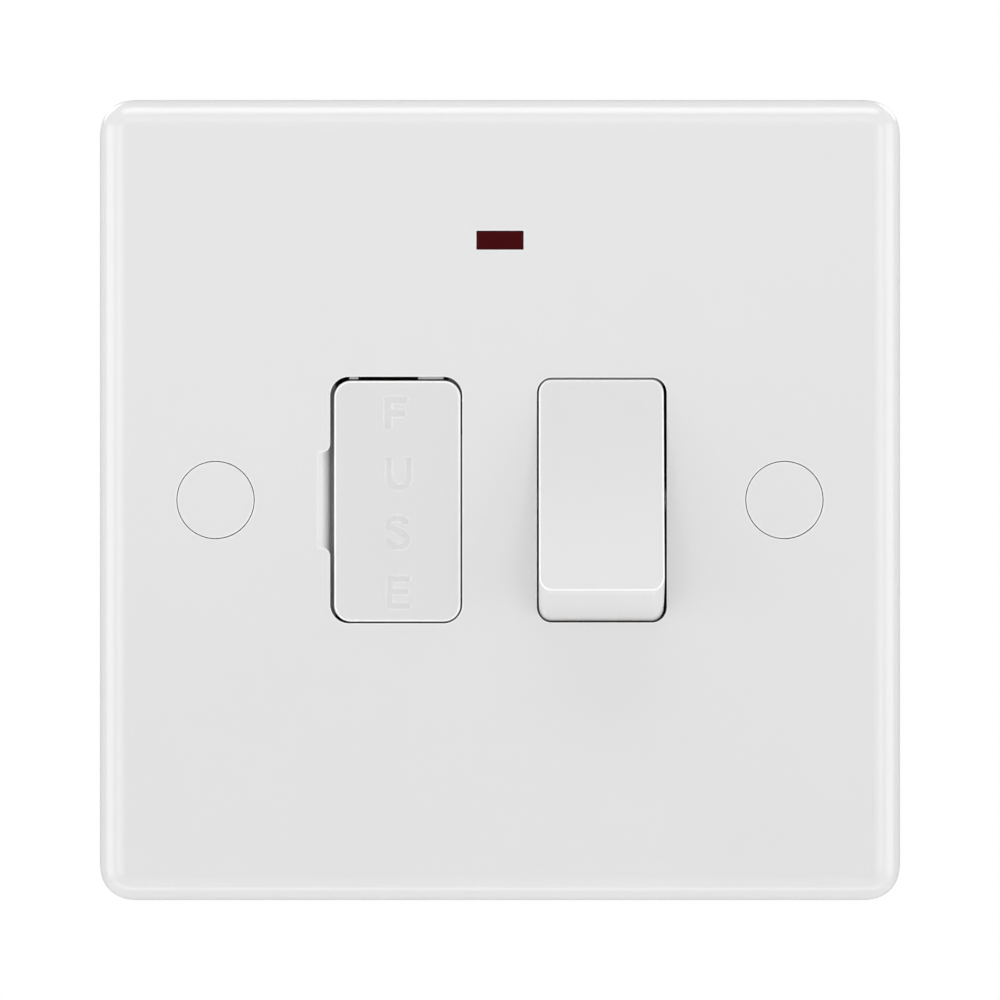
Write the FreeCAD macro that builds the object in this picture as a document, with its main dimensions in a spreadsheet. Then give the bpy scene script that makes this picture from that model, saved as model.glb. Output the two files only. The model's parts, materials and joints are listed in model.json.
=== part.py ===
import FreeCAD, Part
import Sketcher
import os
import re

# Fused connection unit: a single-gang plate with a double-pole rocker, a sliding fuse carrier
# and a neon window. Millimetres, X to the right, Y into the wall, Z up. The origin is the centre
# of the plate's rim, where it meets the wall, so the front face lies at minus plate_depth.

doc = FreeCAD.newDocument("fused_spur_unit")
sheet = doc.addObject("Spreadsheet::Sheet", "sizes")

SIZES = [
    # Front plate
    ("plate_width", 86.0, "across the rim"),
    ("plate_height", 86.0, "up the rim"),
    ("plate_depth", 9.5, "rim to front face"),
    ("plate_corner", 3.9, "corner radius seen from the front"),
    ("plate_edge", 3.0, "rounding between face and sides"),
    ("plate_draft", 4.0, "side draft in degrees"),
    ("rim_round", 0.08, "rounding of the rims of apertures and recesses"),
    ("least_flat", 0.1, "what roundings leave of a corner"),
    ("plate_skin", 2.6, "thickness of the face"),
    ("plate_rim", 2.0, "thickness of the side walls"),
    ("rib_width", 1.2, "stiffening ribs"),
    ("rib_height", 2.5, "stiffening ribs, behind the face"),
    ("rib_x", 14.0, "upright ribs from the middle"),
    ("rib_z", 21.0, "level ribs from the middle"),
    ("rib_gap", 0.3, "ribs to the housing"),
    ("keeper_gap", 0.05, "pivot keepers to the switch well"),
    ("keeper_inset", 0.2, "pivot keepers inside the pivots' sides"),
    # Fixing screws and their caps
    ("screw_pitch", 60.3, "between the two fixing screws"),
    ("recess_diameter", 8.3, "screw recess in the face"),
    ("recess_depth", 5.0, "face to screw seat"),
    ("boss_diameter", 10.4, "boss round each fixing screw"),
    ("boss_short", 0.5, "boss end to wall plane"),
    ("screw_hole", 3.9, "clearance hole"),
    ("seat_diameter", 7.2, "top of the countersink"),
    ("screw_length", 25.0, "fixing screw under its head top"),
    ("screw_thread", 3.5, "thread diameter"),
    ("screw_neck", 3.1, "plain neck"),
    ("screw_head", 6.8, "head diameter"),
    ("screw_head_rim", 0.45, "straight rim of the head"),
    ("screw_slot", 1.0, "driver slot width and depth"),
    ("screw_seat_play", 0.05, "fixing screws to their seats"),
    ("thread_start", -0.2, "thread begins behind the wall plane"),
    ("cap_diameter", 8.12, "visible disc of the cap"),
    ("cap_edge", 0.1, "rounding of the disc"),
    ("cap_thickness", 1.0, "disc of the cap"),
    ("cap_skirt_play", 0.1, "skirt to recess wall"),
    ("cap_skirt_wall", 0.8, "skirt of the cap"),
    ("cap_skirt_length", 3.2, "skirt behind the disc"),
    ("cap_slot", 1.6, "slots between the skirt's fingers"),
    ("cap_slot_start", 0.6, "slots behind the disc"),
    # Fuse aperture, carrier and notch
    ("fuse_x", -11.0, "middle of the fuse and its aperture"),
    ("fuse_aperture_corner", 2.0, "aperture corner radius"),
    ("ledge_setback", 0.9, "guide ledge behind the face"),
    ("ledge_height", 0.25, "guide ledge at the aperture's top"),
    ("relief_width", 6.35, "gap in the guide ledge"),
    ("relief_shift", -0.87, "gap in the guide ledge, from fuse_x"),
    ("notch_width", 1.4, "finger notch beside the aperture"),
    ("notch_height", 10.1, "finger notch"),
    ("notch_depth", 2.0, "finger notch at the aperture"),
    ("notch_round", 0.9, "flare of the notch's ends"),
    ("notch_curve", 2.3, "swell of the notch's ramp"),
    ("carrier_width", 13.44, "carrier face"),
    ("carrier_margin", 0.09, "carrier face past the fuse's ends"),
    ("carrier_gap", 0.28, "carrier face to the aperture"),
    ("carrier_shift_x", 0.12, "carrier face from fuse_x"),
    ("carrier_shift_z", -0.13, "carrier face from the middle"),
    ("carrier_corner", 1.8, "carrier face corner radius"),
    ("carrier_edge", 0.3, "carrier face edge rounding"),
    ("carrier_face", 2.4, "thickness of the carrier's face"),
    ("carrier_arm", 1.2, "thickness of the carrier's side arm"),
    ("arm_setback", 0.4, "side arm behind the left edge of the face"),
    ("carrier_stroke", 16.5, "travel of the carrier out of the plate"),
    ("carrier_play", 0.3, "arm to the fuse well"),
    ("hook_reach", 1.1, "hooks past the fuse's ends"),
    ("hook_length", 1.6, "hooks along the travel"),
    ("arm_inset", 0.4, "side arm short of the fuse's ends"),
    ("seat_gap", 1.3, "fuse seats to the end caps"),
    ("seat_width", 1.6, "fuse seats"),
    ("seat_play", 0.12, "fuse to its seats"),
    ("seat_reach", 1.6, "fuse seats past the fuse's axis"),
    ("groove_width", 1.0, "pry groove in the carrier's side"),
    ("groove_depth", 0.6, "pry groove"),
    ("groove_setback", 0.9, "pry groove behind the carrier's face"),
    # Cartridge fuse and its clips
    ("fuse_y", 2.5, "fuse axis behind the wall plane"),
    ("fuse_length", 25.4, "cartridge length"),
    ("fuse_diameter", 6.35, "end cap diameter"),
    ("fuse_cap_length", 5.6, "end caps"),
    ("fuse_cap_wall", 0.3, "end caps"),
    ("fuse_cap_floor", 0.4, "end caps"),
    ("fuse_cap_play", 0.03, "ceramic barrel in its caps"),
    ("barrel_inset", 0.5, "ceramic barrel inside the fuse's ends"),
    ("clip_play", 0.15, "clip leaves to the fuse cap"),
    ("clip_leaf", 0.6, "clip leaf thickness"),
    ("clip_front", -0.4, "front of the clip leaves"),
    ("clip_inset", 4.5, "clips begin inside the fuse's ends"),
    ("clip_width", 4.0, "clip width along the fuse"),
    # Switch aperture and rocker
    ("switch_x", 10.8, "middle of the switch aperture"),
    ("switch_aperture_width", 13.75, "aperture in the face"),
    ("switch_aperture_corner", 1.55, "aperture corner radius"),
    ("pivot_y", -4.4, "rocker pivot"),
    ("rocker_shift", -0.07, "rocker from switch_x"),
    ("rocker_width", 13.25, "rocker"),
    ("rocker_flat", 7.68, "pivot to the rocker's flat face"),
    ("rocker_half", 11.3, "half height of the flat face"),
    ("rocker_back", 1.9, "pivot to the back of the end walls"),
    ("rocker_corner", 1.3, "rocker corner radius"),
    ("rocker_dish", 130.0, "hollow of the rocker's face"),
    ("rocker_edge", 0.25, "rounding round the rocker's face"),
    ("rocker_wall", 1.2, "rocker sides"),
    ("rocker_front", 1.7, "rocker wall behind its ridges"),
    ("rocker_end_wall", 1.5, "rocker end walls"),
    ("rocker_tilt", 12.25, "tilt each side of the middle, degrees"),
    ("swing_play", 0.24, "rocker ends to the aperture"),
    ("trunnion_diameter", 3.0, "rocker pivots"),
    ("trunnion_length", 1.1, "rocker pivots, each side"),
    ("trunnion_play", 0.06, "pivots in their notches"),
    ("trunnion_end_play", 0.2, "ends of the pivots in their notches"),
    ("ear_half", 2.6, "half height of the pivot ears"),
    ("ear_back", 2.2, "pivot ears behind the pivot"),
    # Plungers and springs
    ("pole_pitch", 6.8, "between the two poles"),
    ("tower_diameter", 4.4, "plunger towers"),
    ("tower_back", 2.5, "towers behind the pivot"),
    ("tower_bore", 2.7, "plunger bores"),
    ("bore_front", 5.5, "bore bottoms before the pivot"),
    ("plunger_diameter", 2.4, "plungers"),
    ("plunger_front", 0.5, "plunger front before the pivot"),
    ("plunger_reach", 6.0, "plunger tip behind the pivot"),
    ("plunger_travel", 0.6, "plunger travel into the rocker"),
    ("spring_wire", 0.3, "plunger spring wire"),
    ("spring_diameter", 2.0, "plunger spring, middle of the wire"),
    ("spring_turns", 5.0, "plunger spring"),
    ("spring_play", 0.1, "spring ends to bore bottom and pressed plunger"),
    # Contact levers and their knife edges
    ("lever_y", 2.45, "lever's rear face at its pivot"),
    ("lever_thickness", 0.8, "levers"),
    ("lever_width", 4.0, "levers"),
    ("lever_up", 10.6, "levers above the pivot"),
    ("lever_down", 7.0, "levers below the pivot"),
    ("lever_tilt", 8.0, "lever tilt each side of the middle, degrees"),
    ("knife_radius", 0.3, "knife edge"),
    ("knife_play", 0.05, "knife edge to the lever"),
    ("knife_half", 1.5, "half height of the knife's foot"),
    ("ear_gap", 0.2, "cradle ears to the lever"),
    ("ear_thickness", 0.5, "cradle ears"),
    ("ear_front", 0.9, "front of the cradle ears"),
    ("ear_height", 1.6, "half height of the cradle ears"),
    ("contact_z", 8.9, "contact rivets above the pivot"),
    ("rivet_diameter", 3.0, "contact rivets"),
    ("moving_rivet", 0.7, "moving rivet behind the lever"),
    ("contact_play", 0.28, "middles of the closed rivets"),
    ("pad_margin", 0.3, "strips round the fixed rivets"),
    # Conductors and terminals
    ("strip_y", 6.0, "front of all strips"),
    ("strip_thickness", 0.8, "strips"),
    ("strip_width", 3.0, "strips to the terminals"),
    ("strip_play", 0.3, "strips to their channels"),
    ("block_width", 7.0, "terminal blocks"),
    ("block_depth", 7.0, "terminal blocks"),
    ("block_height", 8.0, "terminal blocks"),
    ("block_play", 0.3, "blocks to their chambers"),
    ("block_back_play", 0.1, "blocks to the backs of their chambers"),
    ("wire_bore", 4.2, "wire bores"),
    ("wire_y", 9.6, "wire bores behind the wall plane"),
    ("wire_entry", 5.0, "wire entries in the housing"),
    ("clamp_thread", 3.5, "terminal screws"),
    ("clamp_play", 0.05, "terminal screws in their blocks"),
    ("clamp_head", 5.6, "terminal screw heads"),
    ("clamp_head_length", 1.9, "terminal screw heads"),
    ("clamp_lift", 0.2, "terminal screw heads above the block"),
    ("clamp_well", 6.4, "screw wells in the housing's back"),
    ("clamp_slot", 0.9, "driver slots"),
    ("top_row_z", 25.0, "upper terminals"),
    ("bottom_row_z", -25.0, "lower terminals"),
    ("earth_right_x", -8.6, "right earth terminal"),
    ("neutral_out_x", 14.2, "neutral load terminal"),
    ("live_out_x", -14.0, "live load terminal"),
    ("live_in_x", 5.5, "live supply terminal"),
    ("earth_left_x", -18.2, "left earth terminal"),
    ("neutral_in_x", 16.5, "neutral supply terminal"),
    # Neon indicator
    ("lens_width", 4.9, "neon window"),
    ("lens_height", 1.9, "neon window"),
    ("lens_z", 27.54, "neon window above the middle"),
    ("lens_edge", 0.15, "rounding of the window"),
    ("lens_play", 0.05, "window in its slot"),
    ("lens_flange", 0.9, "flange behind the face"),
    ("lens_margin", 1.0, "flange round the slot"),
    ("lamp_diameter", 4.0, "neon lamp"),
    ("lamp_length", 8.5, "neon lamp"),
    ("lamp_y", -3.2, "lamp axis"),
    ("lead_diameter", 1.2, "sleeved wires"),
    ("lead_bend", 1.4, "bends of the wires"),
    ("lead_y", 0.2, "depth of the long wire"),
    ("lead_loop", 2.2, "left wire's loop beyond the lamp"),
    ("lead_end_play", 0.1, "ends of the wires to the strips"),
    ("resistor_diameter", 2.4, "resistor"),
    ("resistor_length", 7.0, "resistor"),
    ("resistor_z", 17.0, "resistor middle"),
    # Rear housing
    ("housing_width", 49.2, "housing"),
    ("housing_top", 31.0, "housing above the middle"),
    ("housing_bottom", 30.5, "housing below the middle"),
    ("housing_depth", 16.3, "housing behind the wall plane"),
    ("housing_corner", 1.5, "upright corners of the housing"),
    ("housing_bevel", 0.8, "bevel round the housing's back"),
    ("fuse_well_play", 1.6, "fuse well beyond the fuse's ends"),
    ("switch_end_play", 0.64, "switch well beyond the rocker's sweep"),
    ("switch_well_play", 0.35, "rocker to the well's sides"),
    ("fuse_well_right", -5.5, "right side of the fuse well"),
    ("lead_channel", 3.2, "channel for the long wire"),
    ("post_x", 21.0, "housing screws from the middle"),
    ("post_z", 12.0, "housing screws from the middle"),
    ("post_diameter", 4.2, "posts on the plate"),
    ("post_end", -1.2, "ends of the posts"),
    ("post_play", 0.3, "posts in their sockets"),
    ("post_end_play", 0.2, "ends of the posts in their sockets"),
    ("self_tapper", 2.9, "housing screws"),
    ("self_tapper_play", 0.05, "housing screws in their holes"),
    ("self_tapper_head", 5.0, "housing screw heads"),
    ("self_tapper_head_length", 1.8, "housing screw heads"),
    ("self_tapper_length", 7.0, "housing screws under the head"),
    ("self_tapper_seat", 2.0, "seat of the heads behind the wall plane"),
    ("pilot_play", 0.3, "pilot holes past the tips of the screws"),
    ("counterbore", 5.4, "counterbores for the heads"),
    ("pass_play", 0.35, "housing to the bosses and fixing screws"),
    # For every piece
    ("lap", 0.2, "forms run into what they grow from"),
    ("past", 1.0, "cuts run past what they open"),
]

# Places that follow from the driving sizes.
PLACES = {
    "face_y": "0 - plate_depth",
    "skin_y": "plate_skin - plate_depth",
    "seat_y": "recess_depth - plate_depth",
    "screw_x": "screw_pitch / 2",
    "floor_y": "strip_y + strip_thickness",
    "block_back": "floor_y + block_depth",
    "chamber_back": "block_back + block_back_play",
    "rocker_x": "switch_x + rocker_shift",
    "rocker_round": "sqrt(rocker_flat ^ 2 + rocker_half ^ 2)",
    "dish_y": "0 - rocker_flat - sqrt(rocker_dish ^ 2 - rocker_half ^ 2)",
    "switch_well_half": "rocker_round + switch_end_play",
    "well_left": "rocker_x - rocker_width / 2 - switch_well_play",
    "well_right": "rocker_x + rocker_width / 2 + switch_well_play",
    "live_x": "switch_x - pole_pitch / 2",
    "neutral_x": "switch_x + pole_pitch / 2",
    "carrier_x": "fuse_x + carrier_shift_x",
    "carrier_height": "fuse_length + 2 * carrier_margin",
    "fuse_aperture_width": "carrier_width + 2 * carrier_gap",
    "fuse_aperture_height": "carrier_height + 2 * carrier_gap",
    "arm_left": "carrier_x - carrier_width / 2 + arm_setback",
    "arm_back": "skin_y + carrier_stroke + hook_length",
    "fuse_well_left": "arm_left - carrier_play",
    "clip_half": "fuse_diameter / 2 + clip_play",
    "fuse_end_z": "fuse_length / 2",
    "seat_z": "fuse_end_z - fuse_cap_length - seat_gap - seat_width / 2",
    "clip_inner_z": "fuse_end_z - clip_inset",
    "clip_outer_z": "clip_inner_z + clip_width",
    "fuse_well_half": "fuse_end_z + fuse_well_play",
    "hook_end_z": "fuse_end_z + hook_reach",
    "arm_end_z": "fuse_end_z - arm_inset",
    "pad_low": "contact_z - rivet_diameter / 2 - pad_margin",
    "pad_high": "contact_z + rivet_diameter / 2 + pad_margin",
    "contact_y": "lever_y + contact_z * sin(lever_tilt) + moving_rivet * cos(lever_tilt) + contact_play",
    "barrel_diameter": "fuse_diameter - 2 * fuse_cap_wall - 2 * fuse_cap_play",
    "lens_back": "skin_y + lens_flange",
}

# Left and right ends of the pieces that come in pairs, and the poles of the switch.
SIDES = [("left", "0 -"), ("right", "0 +")]
POLES = [("live", "live_x"), ("neutral", "neutral_x")]
POSTS = [(f"{across} post_x", f"{up} post_z") for across in ("0 -", "0 +") for up in ("0 -", "0 +")]
TERMINALS = [
    ("earth_left", "earth_left_x", "top_row_z"),
    ("earth_right", "earth_right_x", "top_row_z"),
    ("neutral_out", "neutral_out_x", "top_row_z"),
    ("live_out", "live_out_x", "bottom_row_z"),
    ("live_in", "live_in_x", "bottom_row_z"),
    ("neutral_in", "neutral_in_x", "bottom_row_z"),
]

ALONG_X = FreeCAD.Vector(1, 0, 0)
ALONG_Y = FreeCAD.Vector(0, 1, 0)
NEAR = 0.05
STRAIGHT = 0.999
ALIGNED = 0.99
LEFT = "bulge_left"

WORD = re.compile(r"[a-z][a-z0-9_]*")
ALIASES = {alias for alias, number, note in SIZES}
PARTS = []


def fill_sheet():
    """Each size is a plain number in column B, under its alias."""
    for row, (alias, number, note) in enumerate(SIZES, start=1):
        sheet.set(f"A{row}", alias)
        sheet.set(f"B{row}", str(number))
        sheet.set(f"C{row}", note)
        sheet.setAlias(f"B{row}", alias)
    doc.recompute()


def link(text):
    """The expression with its places opened up and its sizes read from the sheet."""

    def swap(match):
        word = match.group()
        if word in PLACES:
            return "(" + link(PLACES[word]) + ")"
        return "sizes." + word if word in ALIASES else word

    return WORD.sub(swap, str(text))


def value(text):
    """The number that an expression gives now."""
    return float(sheet.evalExpression(link(text)))


def bind(thing, prop, text):
    """Ties a property to an expression of the sheet's sizes."""
    thing.setExpression(prop, link(text))


def point(x, y, z):
    return FreeCAD.Vector(value(x), value(y), value(z))


def keep(thing):
    """Marks an object as a finished piece, saved under its label."""
    PARTS.append(thing)
    return thing


# Plain solids and their unions and cuts


def block(name, x, y, z):
    """A box between two X, two Y and two Z expressions."""
    solid = doc.addObject("Part::Box", name)
    for size, place, (low, high) in (("Length", "x", x), ("Width", "y", y), ("Height", "z", z)):
        bind(solid, size, f"({high}) - ({low})")
        bind(solid, "Placement.Base." + place, low)
    return solid


TURNS = {
    "X": FreeCAD.Rotation(FreeCAD.Vector(0, 1, 0), 90),
    "Y": FreeCAD.Rotation(FreeCAD.Vector(1, 0, 0), -90),
    "Z": FreeCAD.Rotation(),
}


def stand(solid, axis, start):
    """Turns a solid's own axis along X, Y or Z and puts its foot at start."""
    solid.Placement = FreeCAD.Placement(point(*start), TURNS[axis])
    for place, text in zip("xyz", start):
        bind(solid, "Placement.Base." + place, text)
    return solid


def rod(name, axis, start, length, diameter):
    """A cylinder that grows from start along an axis."""
    solid = doc.addObject("Part::Cylinder", name)
    bind(solid, "Radius", f"({diameter}) / 2")
    bind(solid, "Height", length)
    return stand(solid, axis, start)


def cone(name, axis, start, length, diameter, far_diameter):
    """A cone from one diameter at start to another at its far end."""
    solid = doc.addObject("Part::Cone", name)
    bind(solid, "Radius1", f"({diameter}) / 2")
    bind(solid, "Radius2", f"({far_diameter}) / 2")
    bind(solid, "Height", length)
    return stand(solid, axis, start)


def joined(name, *solids):
    union = doc.addObject("Part::MultiFuse", name)
    union.Shapes = list(solids)
    union.Refine = True
    return union


def carved(name, base, *tools):
    cut = doc.addObject("Part::Cut", name)
    cut.Base = base
    cut.Tool = tools[0] if len(tools) == 1 else joined(name + "_tools", *tools)
    return cut


def grouped(name, *solids):
    """Like pieces that stay separate solids in one node."""
    group = doc.addObject("Part::Compound", name)
    group.Links = list(solids)
    return group


# Moulded bodies: sketches, pads and pockets


def new_body(name):
    return doc.addObject("PartDesign::Body", name)


def sketch_on(body, name, plane, start, *outlines):
    """A sketch on one of the body's origin planes, moved along that plane's normal axis."""
    sketch = body.newObject("Sketcher::SketchObject", name)
    origin_plane = [part for part in body.Origin.OriginFeatures if part.Role == plane][0]
    sketch.AttachmentSupport = (origin_plane, [""])
    sketch.MapMode = "FlatFace"
    bind(sketch, "AttachmentOffset.Base.z", f"0 - ({start})" if plane == "XZ_Plane" else start)
    for outline in outlines:
        outline(sketch)
    return sketch


def hold(sketch, kind, shape, end, text):
    """Binds one signed distance from the sketch's origin to a point."""
    rule = sketch.addConstraint(Sketcher.Constraint(kind, -1, 1, shape, end, value(text)))
    bind(sketch, f"Constraints[{rule}]", text)


def profile(*steps):
    """Closed outline through points. A third value is the radius of an arc to that point, which
    bulges to the right of the way there, or to the left where LEFT is given too."""

    def draw(sketch):
        first = sketch.GeometryCount
        count = len(steps)
        spots = [FreeCAD.Vector(value(step[0]), value(step[1]), 0) for step in steps]
        for number in range(count):
            start, end = spots[number - 1], spots[number]
            if len(steps[number]) == 2:
                sketch.addGeometry(Part.LineSegment(start, end))
            else:
                bulge = arc_middle(start, end, value(steps[number][2]), len(steps[number]) == 4)
                sketch.addGeometry(Part.Arc(start, bulge, end))
        for number in range(count):
            edge, following = first + number, first + (number + 1) % count
            here = end_at(sketch, edge, spots[number])
            there = end_at(sketch, following, spots[number])
            sketch.addConstraint(Sketcher.Constraint("Coincident", edge, here, following, there))
        for number, step in enumerate(steps):
            edge = first + number
            here = end_at(sketch, edge, spots[number])
            hold(sketch, "DistanceX", edge, here, step[0])
            hold(sketch, "DistanceY", edge, here, step[1])
            if len(step) > 2:
                rule = sketch.addConstraint(Sketcher.Constraint("Radius", edge, value(step[2])))
                bind(sketch, f"Constraints[{rule}]", step[2])

    return draw


def arc_middle(start, end, radius, bulge_left):
    """Middle of the shorter arc between two points."""
    chord = end - start
    rise = radius - max(radius ** 2 - chord.Length ** 2 / 4, 0) ** 0.5
    aside = FreeCAD.Vector(chord.y, -chord.x, 0).normalize()
    return (start + end) * 0.5 + aside * (-rise if bulge_left else rise)


def end_at(sketch, edge, spot):
    """Which end of an edge, 1 or 2, lies at a spot."""
    return min((1, 2), key=lambda end: (sketch.getPoint(edge, end) - spot).Length)


def rectangle(left, right, bottom, top):
    return profile((left, bottom), (right, bottom), (right, top), (left, top))


def centred(across, up, width, height):
    """Rectangle about a centre."""
    return rectangle(
        f"{across} - ({width}) / 2",
        f"{across} + ({width}) / 2",
        f"{up} - ({height}) / 2",
        f"{up} + ({height}) / 2",
    )


def rounded(across, up, width, height, radius):
    """Rectangle about a centre with round corners."""
    left, right = f"{across} - ({width}) / 2", f"{across} + ({width}) / 2"
    bottom, top = f"{up} - ({height}) / 2", f"{up} + ({height}) / 2"
    inset = f"({radius})"
    return profile(
        (f"{left} + {inset}", bottom, radius), (f"{right} - {inset}", bottom),
        (right, f"{bottom} + {inset}", radius), (right, f"{top} - {inset}"),
        (f"{right} - {inset}", top, radius), (f"{left} + {inset}", top),
        (left, f"{top} - {inset}", radius), (left, f"{bottom} + {inset}"),
    )


def circle(across, up, diameter):
    def draw(sketch):
        centre = FreeCAD.Vector(value(across), value(up), 0)
        ring = sketch.addGeometry(Part.Circle(centre, FreeCAD.Vector(0, 0, 1), value(diameter) / 2))
        hold(sketch, "DistanceX", ring, 3, across)
        hold(sketch, "DistanceY", ring, 3, up)
        rule = sketch.addConstraint(Sketcher.Constraint("Diameter", ring, value(diameter)))
        bind(sketch, f"Constraints[{rule}]", diameter)

    return draw


def grow(body, name, plane, start, end, *outlines):
    """Pad from start to end along the plane's axis (on XZ_Plane from the back to the front)."""
    return prism("Pad", body, name, plane, start, end, outlines)


def sink(body, name, plane, start, end, *outlines):
    """Pocket from start to end along the plane's axis (on XZ_Plane from the back to the front)."""
    return prism("Pocket", body, name, plane, start, end, outlines)


def prism(kind, body, name, plane, start, end, outlines):
    sketch = sketch_on(body, name + "_outline", plane, start, *outlines)
    feature = body.newObject("PartDesign::" + kind, name)
    feature.Profile = sketch
    feature.Reversed = kind == "Pocket"
    length = f"({start}) - ({end})" if plane == "XZ_Plane" else f"({end}) - ({start})"
    bind(feature, "Length", length)
    return feature


def turned(kind, body, name, level, outline, foot, tip):
    """Revolution or groove of an outline at height level about the line from foot to tip."""
    sketch = sketch_on(body, name + "_outline", "XY_Plane", level, outline)
    ends = [FreeCAD.Vector(value(x), value(y), 0) for x, y in (foot, tip)]
    axis = sketch.addGeometry(Part.LineSegment(*ends), True)
    for end, (x, y) in enumerate((foot, tip), start=1):
        hold(sketch, "DistanceX", axis, end, x)
        hold(sketch, "DistanceY", axis, end, y)
    feature = body.newObject("PartDesign::" + kind, name)
    feature.Profile = sketch
    feature.ReferenceAxis = (sketch, ["Axis0"])
    feature.Angle = 360
    return feature


def drum(kind, body, name, level, low, high, axis_y, radius, corner):
    """Round drum about a line along X, with its two rims rounded."""
    front = f"{axis_y} - ({radius})"
    outline = profile(
        (low, axis_y), (high, axis_y), (high, f"{front} + {corner}"),
        (f"{high} - {corner}", front, corner, LEFT), (f"{low} + {corner}", front),
        (low, f"{front} + {corner}", corner, LEFT),
    )
    return turned(kind, body, name, level, outline, (low, axis_y), (high, axis_y))


def lean_sides(body, name, angle, wanted, inward):
    """Draft of the faces that pass the test, about the rim's plane."""
    doc.recompute()
    base = body.Tip
    names = [f"Face{number}" for number, face in enumerate(base.Shape.Faces, start=1) if wanted(face)]
    feature = body.newObject("PartDesign::Draft", name)
    feature.Base = (base, names)
    rim = [part for part in body.Origin.OriginFeatures if part.Role == "XZ_Plane"][0]
    feature.NeutralPlane = (rim, [""])
    feature.Reversed = inward
    feature.Refine = False
    bind(feature, "Angle", angle)
    doc.recompute()
    feature.touch()
    return feature


def edge_names(body, wanted):
    """Names of the edges of the body, as built so far, that pass the test."""
    doc.recompute()
    names = []
    for number, edge in enumerate(body.Tip.Shape.Edges, start=1):
        if wanted(edge):
            names.append(f"Edge{number}")
    return names


def soften(body, name, radius, wanted, kind="Fillet"):
    """Fillet or chamfer of the edges that pass the test."""
    names = edge_names(body, wanted)
    base = body.Tip
    feature = body.newObject("PartDesign::" + kind, name)
    feature.Base = (base, names)
    feature.Refine = False
    bind(feature, "Radius" if kind == "Fillet" else "Size", radius)
    return feature


def runs_along(edge, axis):
    """True for a straight edge along one axis, give or take a draft angle."""
    if len(edge.Vertexes) != 2:
        return False
    span = edge.Vertexes[1].Point - edge.Vertexes[0].Point
    straight = span.Length > STRAIGHT * edge.Length
    return straight and abs(span.dot(axis)) > ALIGNED * span.Length


def middle(edge):
    return edge.valueAt((edge.FirstParameter + edge.LastParameter) / 2)


def within_face(edge):
    """True for an edge in the flat face that isn't its outer border."""
    inset = "plate_edge + plate_depth * tan(plate_draft)"
    centre = edge.BoundBox.Center
    inside_x = abs(centre.x) < value(f"plate_width / 2 - {inset}") - NEAR
    inside_z = abs(centre.z) < value(f"plate_height / 2 - {inset}") - NEAR
    return inside_x and inside_z and at_depth("face_y")(edge)


def at_depth(depth):
    """Test for edges that lie wholly at one Y."""
    place = value(depth)

    def wanted(edge):
        box = edge.BoundBox
        return abs(box.YMin - place) < NEAR and abs(box.YMax - place) < NEAR

    return wanted


def front_plate():
    """Hollow moulded plate: drafted dish, apertures, bosses, posts, pivot keepers and ribs."""
    body = new_body("plate_moulding")
    grow(body, "dish", "XZ_Plane", "0", "face_y",
         rounded("0", "0", "plate_width", "plate_height", "plate_corner"))
    lean_sides(body, "dish_draft", "plate_draft", is_side, False)
    corner_left = "plate_corner - plate_depth * tan(plate_draft) - least_flat"
    soften(body, "dish_edges", f"min(plate_edge; {corner_left})", at_depth("face_y"))
    grow_hollow(body)
    grow_fittings(body)
    cut_apertures(body)
    cut_screw_holes(body)
    soften(body, "face_rims", "rim_round", within_face)
    return keep(carved("front_plate", body, finger_notch()))


def is_side(face):
    """True for a face that runs straight back from front to rear."""
    return abs(face.normalAt(0.1, 0.1).y) < 0.01


def grow_hollow(body):
    """The dish's hollow back, with the same draft as its sides."""
    sink(body, "hollow", "XZ_Plane", "0", "skin_y",
         rounded("0", "0", "plate_width - 2 * plate_rim", "plate_height - 2 * plate_rim",
                 "plate_corner - plate_rim"))
    lean_sides(body, "hollow_draft", "plate_draft", is_side, True)


def grow_fittings(body):
    """Bosses, posts, keepers for the rocker's pivots and ribs, all standing on the skin."""
    for side, sign in SIDES:
        grow(body, "boss_" + side, "XZ_Plane", "0 - boss_short", "skin_y",
             circle(f"{sign} screw_x", "0", "boss_diameter"))
        grow(body, "posts_" + side, "XZ_Plane", "post_end", "skin_y",
             circle(f"{sign} post_x", "post_z", "post_diameter"),
             circle(f"{sign} post_x", "0 - post_z", "post_diameter"))
        rib_start = f"{sign} (housing_width / 2 + rib_gap)"
        rib_end = f"{sign} (plate_width / 2 - plate_rim)"
        low, high = (rib_end, rib_start) if side == "left" else (rib_start, rib_end)
        grow(body, "level_ribs_" + side, "XZ_Plane", "skin_y + rib_height", "skin_y",
             rectangle(low, high, "rib_z - rib_width / 2", "rib_z + rib_width / 2"),
             rectangle(low, high, "0 - rib_z - rib_width / 2", "0 - rib_z + rib_width / 2"))
    for name, low, high in (
        ("upper", "housing_top + rib_gap", "plate_height / 2 - plate_rim"),
        ("lower", "plate_rim - plate_height / 2", "0 - housing_bottom - rib_gap"),
    ):
        grow(body, "upright_ribs_" + name, "XZ_Plane", "skin_y + rib_height", "skin_y",
             rectangle("0 - rib_x - rib_width / 2", "0 - rib_x + rib_width / 2", low, high),
             rectangle("rib_x - rib_width / 2", "rib_x + rib_width / 2", low, high))
    keeper_back = "pivot_y - trunnion_diameter / 2 - trunnion_play"
    keeper_high = "trunnion_diameter / 2 - keeper_inset"
    left = "rocker_x - rocker_width / 2 - trunnion_length"
    right = "rocker_x + rocker_width / 2 + trunnion_length"
    grow(body, "pivot_keepers", "XZ_Plane", keeper_back, "skin_y",
         rectangle(left, "well_left - keeper_gap", f"0 - ({keeper_high})", keeper_high),
         rectangle("well_right + keeper_gap", right, f"0 - ({keeper_high})", keeper_high))


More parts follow.
